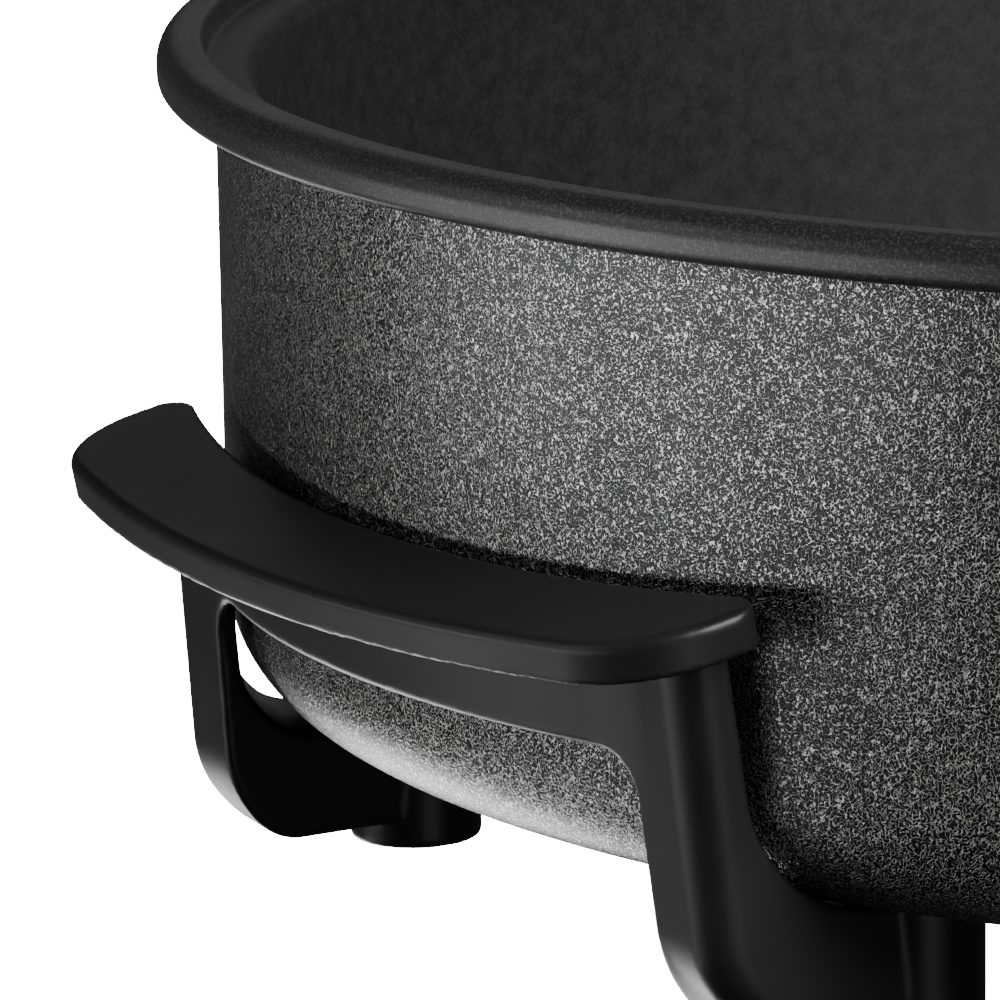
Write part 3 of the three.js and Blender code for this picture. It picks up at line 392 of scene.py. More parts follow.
# The handles: on each side a tilted arc-shaped grip over a frame, whose curved apron stands between two
# flat-faced legs that turn in under the pan and end in round foot posts. Black phenolic mouldings with the
# satin surface of their mould. The posts are screwed to the pan, and the grip is pegged to the frame.
GRIP_TOP_Z = 59.6
GRIP_TILT = math.atan(0.2)
GRIP_PIVOT_X = 185.0
GRIP_THICK = 5.45
GRIP_HALF = 76.3
GRIP_CLEARANCE = 3.4
GRIP_DEPTH = 17.75
GRIP_OUTER_R = 251
GRIP_INNER_R = 197.7
GRIP_OUTER = (WALL_R + GRIP_CLEARANCE + GRIP_DEPTH - GRIP_OUTER_R, GRIP_OUTER_R)
GRIP_INNER = (WALL_R + GRIP_CLEARANCE - GRIP_INNER_R, GRIP_INNER_R)
GRIP_OUTER_CORNER = 17.0
GRIP_INNER_CORNER = 4.4
GRIP_OUTER_EDGE = 1.3
GRIP_INNER_EDGE = 0.8
GRIP_UNDER_EDGE = 0.35
APRON_R = 161
APRON_X = WALL_R + 5.1 - APRON_R
FRAME_BACK_R = WALL_R + 2.1
LEG_FACE_X = 174.8
LEG_BLEND = 2.0
LEAN = 0.09
LEAN_Z = 38.0
FRAME_HALF = 70.4
FRAME_DRAFT = 0.045
FRAME_SIDE_ROUND = 5.5
FRAME_EDGE = 0.8
WINDOW_HALF = 54.3
WINDOW_TOP = 40.0
WINDOW_FLARE = 0.07
WINDOW_CORNER = 6.0
WINDOW_EDGE = 1.1
OUTER_BEND = 14.2
INNER_BEND = 9.8
ARM_BOTTOM = 3.9
ARM_TOP = 18.5
ARM_TOP_FROM = 55.5
ARM_TOP_RISE = 0.12
ARM_FILL_RISE = 0.15
ARM_FILL_X = 161
ARM_FLARE = 0.04
ARM_FLARE_X = 169
WIDE_BEND_FROM = 58
WIDE_BEND_GROWTH = 0.45
UNDER_GRIP_GAP = 0.25
FOOT_X, FOOT_Y = 139.9, 63.6
FOOT_R = 9.15
FOOT_BOTTOM = 0.1
FOOT_DRAFT = 0.008
POST_TOP = STAND - 0.3
ARM_END_X = FOOT_X - 4
FOOT_EDGE = 1.1
PAD_SEAT_R = 6.7
PAD_SEAT_TOP = 2.8
PAD_R = 6.4
PAD_TOP = 2.5


def both(a, b, radius):
    """Where two solids meet: the larger of two distances, with a round edge of the given radius."""
    corner = np.hypot(np.maximum(a + radius, 0), np.maximum(b + radius, 0))
    return np.minimum(np.maximum(a, b), -radius) + corner


def either(a, b, radius):
    """Two solids in one: the smaller of two distances, with a fillet of the given radius."""
    return -both(-a, -b, radius)


def skin(field, low, high, cell):
    """The surface where a distance field is zero. Every grid cell that it crosses gets one point, the mean of
    the crossings on the cell's edges, which then slides onto the surface along the field's slope. Every
    crossed grid edge joins the points of the four cells round it."""
    axes = [np.arange(a - 2 * cell, b + 3 * cell, cell) for a, b in zip(low, high)]
    value = field(*np.meshgrid(*axes, indexing="ij"))
    cells = tuple(n - 1 for n in value.shape)
    total = np.zeros(cells + (3,), np.float32)
    count = np.zeros(cells, np.int16)
    crossings = []
    for axis in range(3):
        u, v = (axis + 1) % 3, (axis + 2) % 3
        near, far = [slice(None)] * 3, [slice(None)] * 3
        near[axis], far[axis] = slice(None, -1), slice(1, None)
        a, b = value[tuple(near)], value[tuple(far)]
        crossed = (a < 0) != (b < 0)
        share = np.where(crossed, a / np.where(crossed, a - b, 1), 0)
        crossings.append((axis, u, v, crossed, a < 0))
        for du in (0, 1):
            for dv in (0, 1):
                pick = [slice(None)] * 3
                pick[u], pick[v] = slice(du, du + cells[u]), slice(dv, dv + cells[v])
                hit = crossed[tuple(pick)]
                count += hit
                total[..., axis] += share[tuple(pick)]
                total[..., u] += hit * du
                total[..., v] += hit * dv
    where = np.nonzero(count)
    index = np.full(cells, -1, np.int64)
    index[where] = np.arange(len(where[0]))
    start = np.array([axis[0] for axis in axes])
    points = start + cell * (np.stack(where, 1) + total[where] / count[where][:, None])
    for _ in range(4):
        step = cell * 0.05
        here = field(*points.T)
        slope = np.stack([
            (field(*(points + move).T) - field(*(points - move).T)) / (2 * step) for move in step * np.eye(3)
        ], 1)
        slide = (here / np.maximum((slope ** 2).sum(1), 0.1))[:, None] * slope
        points = points - np.clip(slide, -cell / 2, cell / 2)
    faces = []
    for axis, u, v, crossed, inside in crossings:
        edge = np.stack(np.nonzero(crossed), 1)
        edge = edge[(edge[:, u] > 0) & (edge[:, v] > 0) & (edge[:, u] < cells[u]) & (edge[:, v] < cells[v])]
        round_edge = []
        for du, dv in ((-1, -1), (0, -1), (0, 0), (-1, 0)):
            cell_at = edge.copy()
            cell_at[:, u] += du
            cell_at[:, v] += dv
            round_edge.append(index[tuple(cell_at.T)])
        quads = np.stack(round_edge, 1)
        flip = ~inside[tuple(edge.T)]
        quads[flip] = quads[flip][:, ::-1]
        faces.append(quads)
    return points, np.concatenate(faces)


def corner(edge, x, y, centre, radius, first, last):
    """A distance whose corner is a true arc: within the wedge that two directions, anticlockwise, make at the
    arc's centre, it is the distance from the centre less the radius."""
    dx, dy = x - centre[0], y - centre[1]
    wedge = (first[0] * dy - first[1] * dx > 0) & (dx * last[1] - dy * last[0] > 0)
    return np.where(wedge, np.hypot(dx, dy) - radius, edge)


def corner_centre(disc_x, reach, inset):
    """Where a corner's arc is centred: at that reach from the disc's centre and that far in from the end."""
    y = GRIP_HALF - inset
    return disc_x + math.sqrt(reach ** 2 - y ** 2), y


def grip_field(x, y, z):
    """The grip: in its own tilted frame, the overlap of a disc, the outside of a smaller disc and a strip
    with round corners, between the underside and the top. The outer top edge has a wider round than the
    inner."""
    along = (x - GRIP_PIVOT_X) * math.cos(GRIP_TILT) - (z - GRIP_TOP_Z) * math.sin(GRIP_TILT) + GRIP_PIVOT_X
    height = (x - GRIP_PIVOT_X) * math.sin(GRIP_TILT) + (z - GRIP_TOP_Z) * math.cos(GRIP_TILT)
    across = np.abs(y)
    end = across - GRIP_HALF
    (outer_x, outer_r), (inner_x, inner_r) = GRIP_OUTER, GRIP_INNER
    outer_at = corner_centre(outer_x, outer_r - GRIP_OUTER_CORNER, GRIP_OUTER_CORNER)
    inner_at = corner_centre(inner_x, inner_r + GRIP_INNER_CORNER, GRIP_INNER_CORNER)
    end_aim = (0, 1)
    outside = np.maximum(np.hypot(along - outer_x, y) - outer_r, end)
    outer_aim = (outer_at[0] - outer_x, outer_at[1])
    outside = corner(outside, along, across, outer_at, GRIP_OUTER_CORNER, outer_aim, end_aim)
    inside = np.maximum(inner_r - np.hypot(along - inner_x, y), end)
    inner_aim = (inner_x - inner_at[0], -inner_at[1])
    inside = corner(inside, along, across, inner_at, GRIP_INNER_CORNER, end_aim, inner_aim)
    top = np.maximum(both(outside, height, GRIP_OUTER_EDGE), both(inside, height, GRIP_INNER_EDGE))
    return both(top, -GRIP_THICK - height, GRIP_UNDER_EDGE)


def frame_field(x, y, z):
    """The leg frame: a disc's edge for the apron and a flat for the legs, both leaning outwards, that turn
    through a wide round into level arms; a round well hollows it from behind, and the window between the legs
    is cut out. Its sides draw in upwards. One arm of each frame has a wider inner bend, which closes the gap
    under the pan there. The foot posts join the arms."""
    leaned = x + LEAN * (LEAN_Z - z)
    across = np.abs(y)
    front = either(np.hypot(leaned - APRON_X, y) - APRON_R, leaned - LEG_FACE_X, LEG_BLEND)
    outside = both(front, ARM_BOTTOM - z, OUTER_BEND)
    sides = across - FRAME_HALF + FRAME_DRAFT * z - ARM_FLARE * np.maximum(ARM_FLARE_X - x, 0)
    back = np.hypot(x, y) - FRAME_BACK_R - LEAN * (z - LEAN_Z)
    arm_top = ARM_TOP + ARM_TOP_RISE * (across - ARM_TOP_FROM) + ARM_FILL_RISE * np.maximum(x - ARM_FILL_X, 0)
    inner_bend = INNER_BEND + WIDE_BEND_GROWTH * np.maximum(y - WIDE_BEND_FROM, 0)
    hollow = both(back, arm_top - z, inner_bend)
    wall = both(both(outside, sides, FRAME_SIDE_ROUND), -hollow, FRAME_EDGE)
    window = both(across - WINDOW_HALF - WINDOW_FLARE * (LEAN_Z - z), z - WINDOW_TOP, WINDOW_CORNER)
    grip_under = GRIP_TOP_Z - math.tan(GRIP_TILT) * (x - GRIP_PIVOT_X) - GRIP_THICK / math.cos(GRIP_TILT)
    top = z - grip_under + UNDER_GRIP_GAP
    leg = np.maximum(np.maximum(both(wall, -window, WINDOW_EDGE), top), ARM_END_X - x)
    from_foot = np.hypot(x - FOOT_X, across - FOOT_Y)
    post = both(from_foot - FOOT_R + FOOT_DRAFT * (STAND - z), FOOT_BOTTOM - z, FOOT_EDGE)
    post = both(post, z - POST_TOP, 0.4)
    recess = np.maximum(from_foot - PAD_SEAT_R, z - PAD_SEAT_TOP)
    return np.maximum(either(leg, post, 0.4), -recess)


def pad_field(x, y, z):
    """A foot pad: a disc with a round lower edge."""
    rim_distance = np.hypot(x - FOOT_X, np.abs(y) - FOOT_Y) - PAD_R
    return both(both(rim_distance, -z, 0.5), z - PAD_TOP, 0.2)


def handle_moulding():
    """Black phenolic: satin, with the fine spark grain of its mould and faint polish marks."""
    moulding = Finish("handle_phenolic", 0.02, 0.42, 0.0)
    at = moulding.place()
    grain = moulding.noise(1500, 3.0, 0.6, 0.0, at)
    cloud = moulding.noise(45, 3.0, 0.55, 0.0, at)
    ground = moulding.between(moulding.ramp(cloud, 0.3, 0.7), (0.016, 0.016, 0.0165), (0.02, 0.02, 0.0205))
    moulding.feed(Base_Color=ground)
    moulding.feed(Roughness=moulding.ramp(cloud, 0.25, 0.75, 0.38, 0.43))
    moulding.bump(grain, 0.012)
    return moulding


def handed(points, faces, side):
    """The right handle as it stands, or turned half round for the left; then moved to the pan's axis."""
    return points * np.array([side, side, 1]) + np.array([0, PAN_Y, 0]), faces


phenolic = handle_moulding()
pad_rubber = Finish("pad_rubber", 0.012, 0.8, 0.0)
pad_rubber.bump(pad_rubber.noise(1200, 2.0), 0.02)
grip_skin = skin(grip_field, (160, -77, 50), (200, 77, 63), 0.55)
frame_skin = skin(frame_field, (129, -74, 0), (188, 74, 61), 0.6)
pad_skin = skin(pad_field, (132, 56, -0.5), (148, 71, 3), 0.4)
for side, hand in ((1, "right"), (-1, "left")):
    grip = add_piece(f"grip_{hand}", *handed(*grip_skin, side), [phenolic])
    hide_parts(f"grip_plate_{hand}")
    leg_frame = add_piece(f"legs_{hand}", *handed(*frame_skin, side), [phenolic])
    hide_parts(f"leg_frame_{hand}")
    for turn, place in ((1, 2 if side > 0 else 1), (-1, 1 if side > 0 else 2)):
        points, faces = pad_skin
        points = points * np.array([1, turn, 1])
        faces = faces if turn > 0 else faces[:, ::-1]
        pad = add_piece(f"pad_{hand}_{place}", *handed(points, faces, side), [pad_rubber])
        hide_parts(f"foot_pad_{hand}_{place}")

# Under the floor: the ring that is cast on the pan for the element. It has the pan's outside coat.
RING_R = 100.0
RING_WIDTH = 19.0
RING_BOTTOM = STAND - 9.8
RING_OPENING_HALF = 32


def ring_field(x, y, z):
    """The element's ring: a band between two circles with round edges, open towards the control."""
    r = np.hypot(x, y)
    band = both(np.abs(r - RING_R) - RING_WIDTH / 2, RING_BOTTOM - z, 2.0)
    opening = np.maximum(np.abs(x) - RING_OPENING_HALF, y)
    return np.maximum(both(band, -opening, 1.5), z - STAND - 0.4)


ring_points, ring_faces = skin(ring_field, (-111, -111, 10), (111, 111, 21), 1.6)
ring = add_piece("element_ring", ring_points + np.array([0, PAN_Y, 0]), ring_faces, [vein_coat()])

# The element's cover: a shallow dish pressed from steel sheet, with two stiffening grooves and a notch for
# the leads, held by three screws with cross-recessed heads.
COVER_R = 125.0
COVER_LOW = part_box("element_cover")[0][2] * 1000
COVER_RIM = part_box("element_cover")[1][2] * 1000
COVER_THICK = 1.0
COVER_BEND = 3.0
NOTCH_HALF = 21.0
NOTCH_DEPTH = 8.0
GROOVE_HALF = 4.0
GROOVE_DEPTH = 0.6
INNER_GROOVE_R = 76.0
OUTER_GROOVE_R = 112.0
HEAD_R = 3.4
HEAD_HEIGHT = 1.9
HEAD_RECESS = 1.2
HEAD_SEAT = 2.0
SLOT_HALF = 0.32


def steel(name, colour, roughness, lines, tint=None):
    """Bare or plated metal: fine rolling lines along X and faint clouds in its colour and gloss."""
    metal = Finish(name, colour, roughness, 1.0)
    at = metal.place()
    stretch = metal.node("ShaderNodeMapping", {"Vector": at, "Scale": (60, lines, 400)})
    grain = metal.noise(1.0, 2.0, 0.6, 0.0, stretch)
    cloud = metal.ramp(metal.noise(28, 3.0, 0.6, 0.0, at), 0.3, 0.7)
    metal.feed(Base_Color=metal.between(cloud, colour, tint or tuple(c * 0.8 for c in colour)))
    metal.feed(Roughness=metal.ramp(grain * 0.6 + cloud * 0.4, 0.3, 0.7, roughness - 0.06, roughness + 0.1))
    metal.bump(grain, 0.004)
    return metal


def screw_head(radius, height, recess):
    """A domed head with a cross recess, its rim at z = 0 and its top at z = height: a sphere cut by a
    cylinder, less two crossed slots whose ends slope in downwards."""
    dome = (radius ** 2 + height ** 2) / (2 * height)
    floor = height - recess

    def slot(wide, long, z):
        end = np.abs(long) - 0.55 * radius - 0.3 * (z - height)
        return np.maximum(np.maximum(np.abs(wide) - SLOT_HALF, end), floor - z)

    def head_field(x, y, z):
        r = np.hypot(x, y)
        ball = np.hypot(r, z - height + dome) - dome
        body = both(both(ball, r - radius, 0.3), -z, 0.2)
        return np.maximum(body, -np.minimum(slot(x, y, z), slot(y, x, z)))

    reach = radius + 0.2
    return skin(head_field, (-reach, -reach, -0.2), (reach, reach, height + 0.2), 0.22)


def rotated(points, degrees):
    """Points turned about the upright axis."""
    turn = math.radians(degrees)
    x, y = points[:, 0], points[:, 1]
    return np.stack([
        x * math.cos(turn) - y * math.sin(turn), x * math.sin(turn) + y * math.cos(turn), points[:, 2],
    ], 1)


def place_heads(head, nodes, finish, height, body="root"):
    """Puts a head, facing down, over the head of each of the frame's screws, each turned its own way."""
    for number, node in enumerate(nodes):
        low, high = (np.array(corner_at) * 1000 for corner_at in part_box(node))
        points = rotated(head[0], 23 + 67 * number) * np.array([1, -1, -1])
        middle = np.array([(low[0] + high[0]) / 2, (low[1] + high[1]) / 2, low[2] + height])
        item = add_piece(f"{node}_head", points + middle, head[1], [finish], body)


def dress(finish, *nodes):
    """Gives solids of the frame their finish."""
    for node in nodes:
        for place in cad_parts[node].material_slots:
            place.material = finish.material


def groove(middle, floor):
    """A pressed groove in a level underside: one wave of a cosine, as wide as the groove."""
    across = np.linspace(-GROOVE_HALF, GROOVE_HALF, 12, endpoint=False)
    rise = GROOVE_DEPTH / 2 * (1 + np.cos(np.pi * across / GROOVE_HALF))
    return np.stack([middle + across, floor + rise], 1)


sheet_steel = steel("cover_steel", (0.5, 0.5, 0.49), 0.34, 900)
zinc_steel = steel("zinc_steel", (0.62, 0.62, 0.6), 0.3, 1500, (0.5, 0.52, 0.54))
bend_r, top = COVER_R - COVER_BEND, COVER_LOW + COVER_THICK
dish = np.concatenate([
    [(0, COVER_LOW)],
    line((12, COVER_LOW), (INNER_GROOVE_R - GROOVE_HALF, COVER_LOW), 6),
    groove(INNER_GROOVE_R, COVER_LOW),
    line((INNER_GROOVE_R + GROOVE_HALF, COVER_LOW), (OUTER_GROOVE_R - GROOVE_HALF, COVER_LOW), 4),
    groove(OUTER_GROOVE_R, COVER_LOW),
    line((OUTER_GROOVE_R + GROOVE_HALF, COVER_LOW), (bend_r, COVER_LOW), 3),
    arc((bend_r, COVER_LOW + COVER_BEND), COVER_BEND, -90, 0, 8),
    [(COVER_R, COVER_RIM - 0.2), (COVER_R - 0.3, COVER_RIM), (COVER_R - COVER_THICK, COVER_RIM - 0.2)],
    arc((bend_r, COVER_LOW + COVER_BEND), COVER_BEND - COVER_THICK, 0, -90, 6),
    line((bend_r, top), (20, top), 4),
    [(0, top)],
])
points, faces = turned(dish, 180, (0, PAN_Y))
in_notch = (np.abs(points[:, 0]) < NOTCH_HALF) & (points[:, 1] < PAN_Y - COVER_R + NOTCH_DEPTH)
points[:, 2] = np.where(in_notch & (points[:, 2] > top - 0.1), top, points[:, 2])
cover = add_piece("cover", points, faces, [sheet_steel])
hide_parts("element_cover")
cover_screws = [f"cover_screw_{i}" for i in (1, 2, 3)]
wide_head = screw_head(HEAD_R, HEAD_HEIGHT, HEAD_RECESS)
place_heads(wide_head, cover_screws, zinc_steel, HEAD_SEAT)

# The electrical parts under the pan: the tubular element, sealed at both ends with ceramic round its pins,
# the earth blade, and the moulded inlet round them with its two screws.
dark_steel = steel("element_steel", (0.21, 0.2, 0.19), 0.4, 700, (0.15, 0.12, 0.1))
brass = steel("brass", (0.72, 0.56, 0.28), 0.3, 1200, (0.55, 0.4, 0.2))


def fired_clay():
    """Off-white ceramic: fired and unglazed, with small dark specks."""
    clay = Finish("ceramic", 0.8, 0.6)
    at = clay.place()
    specks = clay.ramp(clay.noise(1800, 2.0, 0.6, 0.0, at), 0.68, 0.74)
    clay.feed(Base_Color=clay.between(specks, (0.8, 0.77, 0.7), (0.35, 0.3, 0.24)))
    clay.feed(Roughness=clay.ramp(clay.noise(300, 3.0, 0.6, 0.0, at), 0.3, 0.7, 0.5, 0.7))
    clay.bump(clay.noise(900, 3.0, 0.6, 0.0, at), 0.02)
    return clay


def control_shell():
    """Black heat-resistant moulding with a spark-eroded texture, a little coarser than the handles'."""
    shell = Finish("control_moulding", 0.02, 0.45)
    at = shell.place()
    cloud = shell.noise(50, 3.0, 0.55, 0.0, at)
    share = shell.ramp(cloud, 0.3, 0.7)
    shell.feed(Base_Color=shell.between(share, (0.015, 0.015, 0.0155), (0.021, 0.021, 0.0215)))
    shell.feed(Roughness=shell.ramp(cloud, 0.25, 0.75, 0.42, 0.52))
    shell.bump(shell.noise(1700, 2.0, 0.6, 0.0, at), 0.03)
    return shell


clay = fired_clay()
shell = control_shell()
dress(dark_steel, "heating_element")
dress(clay, "terminal_seal_1", "terminal_seal_2")
dress(brass, "terminal_pin_1", "terminal_pin_2", "earth_contact")
dress(shell, "inlet_housing")
dress(zinc_steel, *cover_screws, "inlet_screw_1", "inlet_screw_2")
place_heads(wide_head, ["inlet_screw_1", "inlet_screw_2"], zinc_steel, HEAD_SEAT)

# The screws and washers inside the foot posts.
for hand in ("right", "left"):
    for number in (1, 2):
        dress(zinc_steel, f"foot_screw_{hand}_{number}", f"foot_washer_{hand}_{number}")

# The plug-in control's shell: a lower half with the plug's nose and an upper half, both moulded, which meet
# at a fine joint line and are held by four screws from below.
CONTROL_BACK = -208.6
CONTROL_R = 34.0
CONTROL_Y = -262.0
CONTROL_LOW = 4.0
CONTROL_SPLIT = 21.0
CONTROL_HIGH = 41.0
CONTROL_CORNER = 7.0
CONTROL_EDGE = 3.0
JOINT_EDGE = 0.35
NOSE_Z = STAND - 5.0
NOSE_HALF = 21
NOSE_HALF_HEIGHT = 5.5
NOSE_FRONT = -176.4
SOCKET_X = 13
SOCKET_R = 3.3
SOCKET_END = -186
WELL_R = 3.3
SMALL_HEAD = (2.9, 1.7, 1.1)
SMALL_HEAD_SEAT = 2.2
CONTROL_SCREWS = [f"control_screw_{i}" for i in (1, 2, 3, 4)]
SCREW_WELLS = [(np.add(*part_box(f"control_screw_{i}")) * 500)[:2] - (0, PAN_Y) for i in (1, 2, 3, 4)]
WELL_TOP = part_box("control_screw_1")[0][2] * 1000 + 2.1


def control_outline(x, y):
    """From above: a square end with round corners towards the pan and a half circle at the other end."""
    square = both(np.abs(x) - CONTROL_R, y - CONTROL_BACK, CONTROL_CORNER)
    return np.where(y > CONTROL_Y, square, np.hypot(x, y - CONTROL_Y) - CONTROL_R)


def cover_field(x, y, z):
    """The upper half, with a soft upper edge."""
    body = both(control_outline(x, y), z - CONTROL_HIGH, CONTROL_EDGE)
    return both(body, CONTROL_SPLIT + 0.2 - z, JOINT_EDGE)


def base_field(x, y, z):
    """The lower half with its screw wells and the nose, a flat box with round edges and two sockets, that
    reaches into the inlet."""
    body = both(control_outline(x, y), CONTROL_LOW - z, CONTROL_EDGE)
    body = both(body, z - CONTROL_SPLIT + 0.1, JOINT_EDGE)
    for place_x, place_y in SCREW_WELLS:
        well = np.maximum(np.hypot(x - place_x, y - place_y) - WELL_R, z - WELL_TOP)
        body = np.maximum(body, -well)
    nose = both(np.abs(x) - NOSE_HALF, np.abs(z - NOSE_Z) - NOSE_HALF_HEIGHT, 1.5)
    nose = both(nose, y - NOSE_FRONT, 0.8)
    nose = np.maximum(nose, CONTROL_BACK - 1 - y)
    socket = np.maximum(np.hypot(np.abs(x) - SOCKET_X, z - NOSE_Z) - SOCKET_R, SOCKET_END - y)
    nose = np.maximum(nose, -socket)
    return either(body, nose, 1.0)


for name, field, low, high, node in (
    ("control_top", cover_field, (-34, -296, 21), (34, -208, 41), "control_cover"),
    ("control_bottom", base_field, (-34, -296, 4), (34, -176, 22), "control_base"),
):
    points, faces = skin(field, tuple(v - 1 for v in low), tuple(v + 1 for v in high), 0.8)
    half = add_piece(name, points + np.array([0, PAN_Y, 0]), faces, [shell], "control")
    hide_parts(node)
dress(zinc_steel, *CONTROL_SCREWS, "probe")
place_heads(screw_head(*SMALL_HEAD), CONTROL_SCREWS, zinc_steel, SMALL_HEAD_SEAT, "control")

# The dial: a moulded knob with twelve flutes on a flat skirt, pressed on its steel shaft. The skirt carries
# printed lines and the numbers 1 to 5, and a printed line on the shell is their mark.
DIAL_LOW, DIAL_HIGH = (corner_at[2] * 1000 for corner_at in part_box("control_dial"))
DIAL_LOW = max(DIAL_LOW, CONTROL_HIGH + 0.3)
DIAL_R = 25.0
KNOB_R = 17.5
SKIRT = 3.0
FLUTES = 12
FLUTE_DEPTH = 1.5
SKIRT_FOOT = 0.6
SKIRT_EDGE = 0.8
KNOB_FILLET = 1.2
KNOB_DRAFT = 0.8
KNOB_EDGE = 1.4
NUMBER_SIZE = 4.2
NUMBER_R = 20.3
DIAL_LINE = (22.3, 24.0)
SHELL_MARK = (26.5, 31)
STEP_ANGLE = 45
INK_THICK = 0.03


def dial_black():
    """Black moulding with a satin gloss and faint moulding haze."""
    gloss = Finish("dial_moulding", 0.018, 0.25)
    at = gloss.place()
    haze = gloss.noise(60, 3.0, 0.6, 0.0, at)
    share = gloss.ramp(haze, 0.3, 0.7)
    gloss.feed(Base_Color=gloss.between(share, (0.014, 0.014, 0.0145), (0.02, 0.02, 0.0205)))
    gloss.feed(Roughness=gloss.ramp(haze, 0.3, 0.7, 0.22, 0.32))
    gloss.bump(gloss.noise(2200, 2.0, 0.5, 0.0, at), 0.006)
    return gloss


def print_white():
    """Screen-printed white ink, a little uneven in its cover."""
    ink = Finish("printed_white", 0.75, 0.5)
    cover_share = ink.ramp(ink.noise(1200, 3.0, 0.6), 0.25, 0.5)
    ink.feed(Base_Color=ink.between(cover_share, (0.5, 0.5, 0.49), (0.8, 0.8, 0.78)))
    return ink


knob_foot = DIAL_LOW + SKIRT + KNOB_FILLET
knob_top_r = KNOB_R - KNOB_DRAFT - KNOB_EDGE
profile = np.concatenate([
    [(0, DIAL_LOW), (DIAL_R - SKIRT_FOOT, DIAL_LOW)],
    arc((DIAL_R - SKIRT_FOOT, DIAL_LOW + SKIRT_FOOT), SKIRT_FOOT, -90, 0, 4),
    line((DIAL_R, DIAL_LOW + SKIRT_FOOT), (DIAL_R, DIAL_LOW + SKIRT - SKIRT_EDGE), 3),
    arc((DIAL_R - SKIRT_EDGE, DIAL_LOW + SKIRT - SKIRT_EDGE), SKIRT_EDGE, 0, 90, 5),
    line((DIAL_R - SKIRT_EDGE, DIAL_LOW + SKIRT), (KNOB_R + KNOB_FILLET, DIAL_LOW + SKIRT), 8),
    arc((KNOB_R + KNOB_FILLET, knob_foot), KNOB_FILLET, -90, -180, 6),
    line((KNOB_R, knob_foot), (KNOB_R - KNOB_DRAFT, DIAL_HIGH - KNOB_EDGE), 10),
    arc((knob_top_r, DIAL_HIGH - KNOB_EDGE), KNOB_EDGE, 0, 90, 8),
    line((knob_top_r, DIAL_HIGH), (2, DIAL_HIGH - 0.5), 6),
    [(0, DIAL_HIGH - 0.5)],
])
points, faces = turned(profile, 240)
reach = np.hypot(points[:, 0], points[:, 1])
angle = np.arctan2(points[:, 1], points[:, 0])
fluted = np.clip((points[:, 2] - DIAL_LOW - SKIRT) / 2, 0, 1) * np.clip((reach - 11) / 4, 0, 1)
depth = FLUTE_DEPTH * np.clip(np.cos(FLUTES * angle) * 1.6 - 0.6, 0, 1) ** 0.8 * fluted
points[:, :2] *= (1 - depth / np.maximum(reach, 1))[:, None]
DIAL_PLACE = np.array([0, PAN_Y + CONTROL_Y, 0])
dial = add_piece("dial", points + DIAL_PLACE, faces, [dial_black()], "dial")
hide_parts("control_dial")


def flat_bar(name, start, end, width, height, finish, body):
    """A thin printed line: a strip between two points with its top just above what it is printed on."""
    start, end = np.array(start, float), np.array(end, float)
    aim = (end - start) / np.linalg.norm(end - start)
    side = np.array([-aim[1], aim[0]]) * width / 2
    ring = np.array([start - side, end - side, end + side, start + side])
    points = np.concatenate([np.c_[ring, np.full(4, height - 0.1)], np.c_[ring, np.full(4, height)]])
    faces = np.array([(4, 5, 6, 7), (3, 2, 1, 0), (0, 1, 5, 4), (1, 2, 6, 5), (2, 3, 7, 6), (3, 0, 4, 7)])
    item = add_piece(name, points + DIAL_PLACE, faces, [finish], body)
    item.data.polygons.foreach_set("use_smooth", np.zeros(len(faces), bool))
    return item


ink = print_white()
PRINT_TOP = DIAL_LOW + SKIRT + 0.04
for step in range(6):
    bearing = math.radians(90 + STEP_ANGLE * step)
    out = np.array([math.cos(bearing), math.sin(bearing)])
    flat_bar(f"dial_line_{step}", out * DIAL_LINE[0], out * DIAL_LINE[1], 0.6, PRINT_TOP, ink, "dial")
    if step == 0:
        continue
    text = bpy.data.curves.new(f"dial_number_{step}", "FONT")
    text.body = str(step)
    text.size = NUMBER_SIZE / 1000
    text.align_x, text.align_y = "CENTER", "CENTER"
    text.extrude = INK_THICK / 1000
    lettered = bpy.data.objects.new(f"lettered_{step}", text)
    bpy.context.scene.collection.objects.link(lettered)
    bpy.context.view_layer.update()
    number_mesh = bpy.data.meshes.new_from_object(lettered)
    bpy.data.objects.remove(lettered)
    at = Vector((*(out * NUMBER_R + DIAL_PLACE[:2]), PRINT_TOP)) / 1000
    number_mesh.transform(Matrix.Translation(at) @ Matrix.Rotation(bearing - math.pi / 2, 4, "Z"))
    number_mesh.materials.clear()
    number_mesh.materials.append(ink.material)
    number = bpy.data.objects.new(f"dial_number_{step}", number_mesh)
    bpy.context.scene.collection.objects.link(number)
    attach(number, "dial")
flat_bar("control_mark", (0, SHELL_MARK[0]), (0, SHELL_MARK[1]), 0.9, CONTROL_HIGH + 0.05, ink, "control")
dress(zinc_steel, "dial_shaft")

# The heating light: a red lens like a low drop, over a small glass lamp.
LENS_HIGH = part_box("lamp_lens")[1][2] * 1000
LENS_R = 3.9
LENS_Y = -222
LENS_FOOT = CONTROL_HIGH - 1.5
LENS_SPRING = CONTROL_HIGH + 0.1


def lens_red():
    """Clear red moulding, darker where it is thick."""
    red = Finish("red_lens", (0.5, 0.02, 0.012), 0.12, Transmission_Weight=0.35)
    cloud = red.ramp(red.noise(500, 2.0), 0.3, 0.7)
    red.feed(Base_Color=red.between(cloud, (0.42, 0.015, 0.01), (0.6, 0.03, 0.02)))
    red.feed(Roughness=red.ramp(cloud, 0, 1, 0.1, 0.16))
    return red


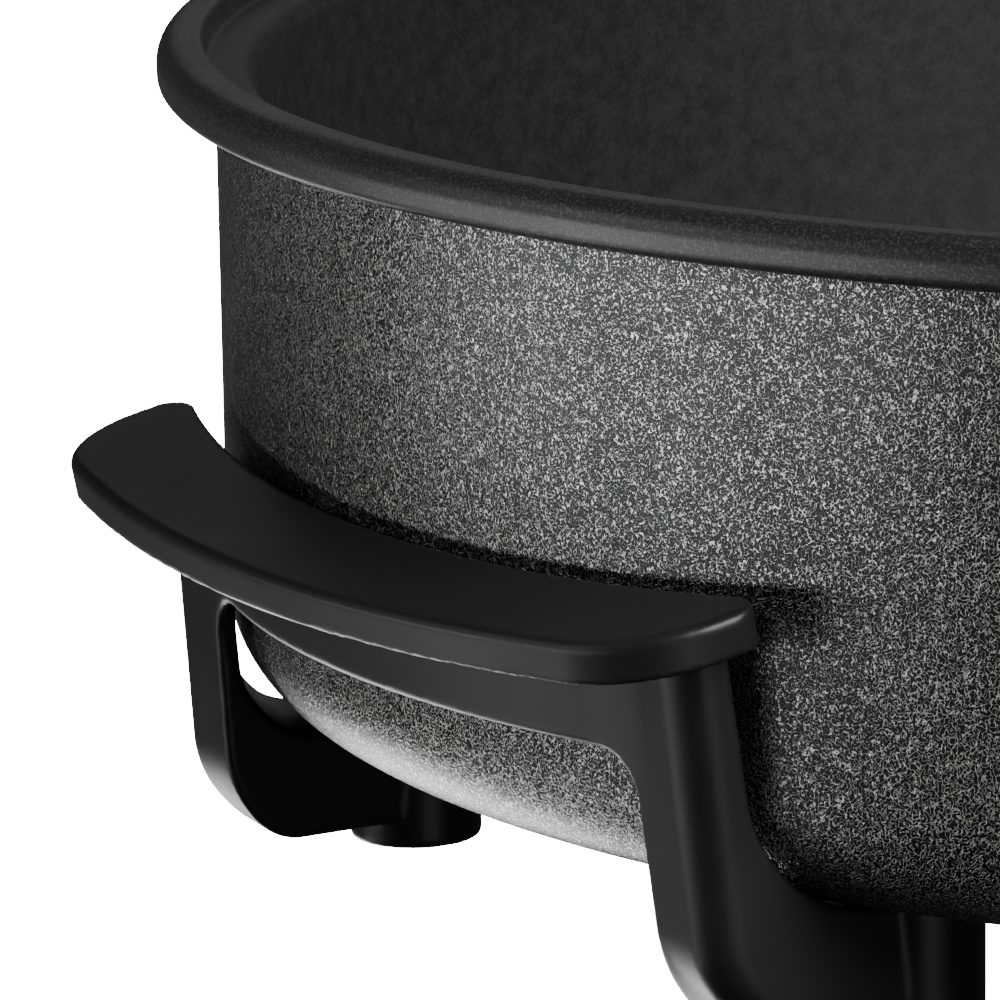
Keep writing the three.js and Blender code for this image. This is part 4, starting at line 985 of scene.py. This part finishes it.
bulb_glass = Finish("lamp_glass", (0.95, 0.95, 0.93), 0.05, Transmission_Weight=0.9)
bulb_glass.feed(Roughness=bulb_glass.ramp(bulb_glass.noise(700, 2.0), 0.3, 0.7, 0.04, 0.1))
dome = np.linspace(0.05, 1.5, 12)
profile = np.concatenate([
    [(0, LENS_FOOT), (LENS_R - 0.2, LENS_FOOT)],
    line((LENS_R, LENS_FOOT + 0.1), (LENS_R, LENS_SPRING), 3),
    np.stack([LENS_R * np.cos(dome), LENS_SPRING + (LENS_HIGH - LENS_SPRING) * np.sin(dome)], 1),
    [(0, LENS_HIGH)],
])
points, faces = turned(profile, 48, (0, PAN_Y + LENS_Y))
lens = add_piece("lens", points, faces, [lens_red()], "control")
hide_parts("lamp_lens")
dress(bulb_glass, "lamp_body")

# The rubber gland that guides the cord out of the shell: a tapered sleeve with ribs.
GLAND_LOW, GLAND_HIGH = np.array(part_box("cord_gland")) * 1000
GLAND_BORE = 3.4
GLAND_R = 4.8
GLAND_TAPER = 0.2
GLAND_FLANGE_R = 6.8
GLAND_FLANGE = 1.8
RIB_PITCH = 3.2
RIB_DEPTH = 0.5
RIBBED_LENGTH = 15
gland_length = GLAND_HIGH[1] - GLAND_LOW[1]
gland_z = (GLAND_LOW[2] + GLAND_HIGH[2]) / 2
along = np.linspace(0, gland_length, 90)
in_groove = (np.sin(along * 2 * np.pi / RIB_PITCH) > 0.1) & (along < RIBBED_LENGTH)
sleeve = GLAND_R + GLAND_TAPER * along / gland_length - RIB_DEPTH * in_groove
sleeve = np.where(along > gland_length - GLAND_FLANGE, GLAND_FLANGE_R, sleeve)
bore = np.full_like(sleeve, GLAND_BORE)
profile = np.concatenate([
    [(GLAND_BORE + 0.01, 0.0)], np.stack([sleeve, along], 1), np.stack([bore, along], 1)[::-1],
])


def sleeve_mesh(profile, steps):
    """A closed profile turned round an axis along Y: x = r cos t, z = r sin t, y = h."""
    angle = 2 * np.pi * np.arange(steps) / steps
    rings = np.stack([
        profile[:, None, 0] * np.cos(angle), np.repeat(profile[:, None, 1], steps, 1),
        profile[:, None, 0] * np.sin(angle),
    ], 2)
    i, j = np.meshgrid(np.arange(len(profile)), np.arange(steps), indexing="ij")
    n, k = (i + 1) % len(profile), (j + 1) % steps
    quads = np.stack([i * steps + j, n * steps + j, n * steps + k, i * steps + k], -1).reshape(-1, 4)
    return rings.reshape(-1, 3), quads


points, faces = sleeve_mesh(profile, 48)
gland = add_piece("gland", points + np.array([0, GLAND_LOW[1], gland_z]), faces, [pad_rubber], "control")
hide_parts("cord_gland")

# Inside the shell: the thermostat switch on its steel carrier, the spring sockets for the pins and the block
# for the supply wires.
dress(dark_steel, "switch_frame")
dress(brass, "contact_clip_1", "contact_clip_2", "earth_clip", "bimetal_strip", "contact_arm")
dress(clay, "switch_stack", "stack_spacer", "terminal_block")
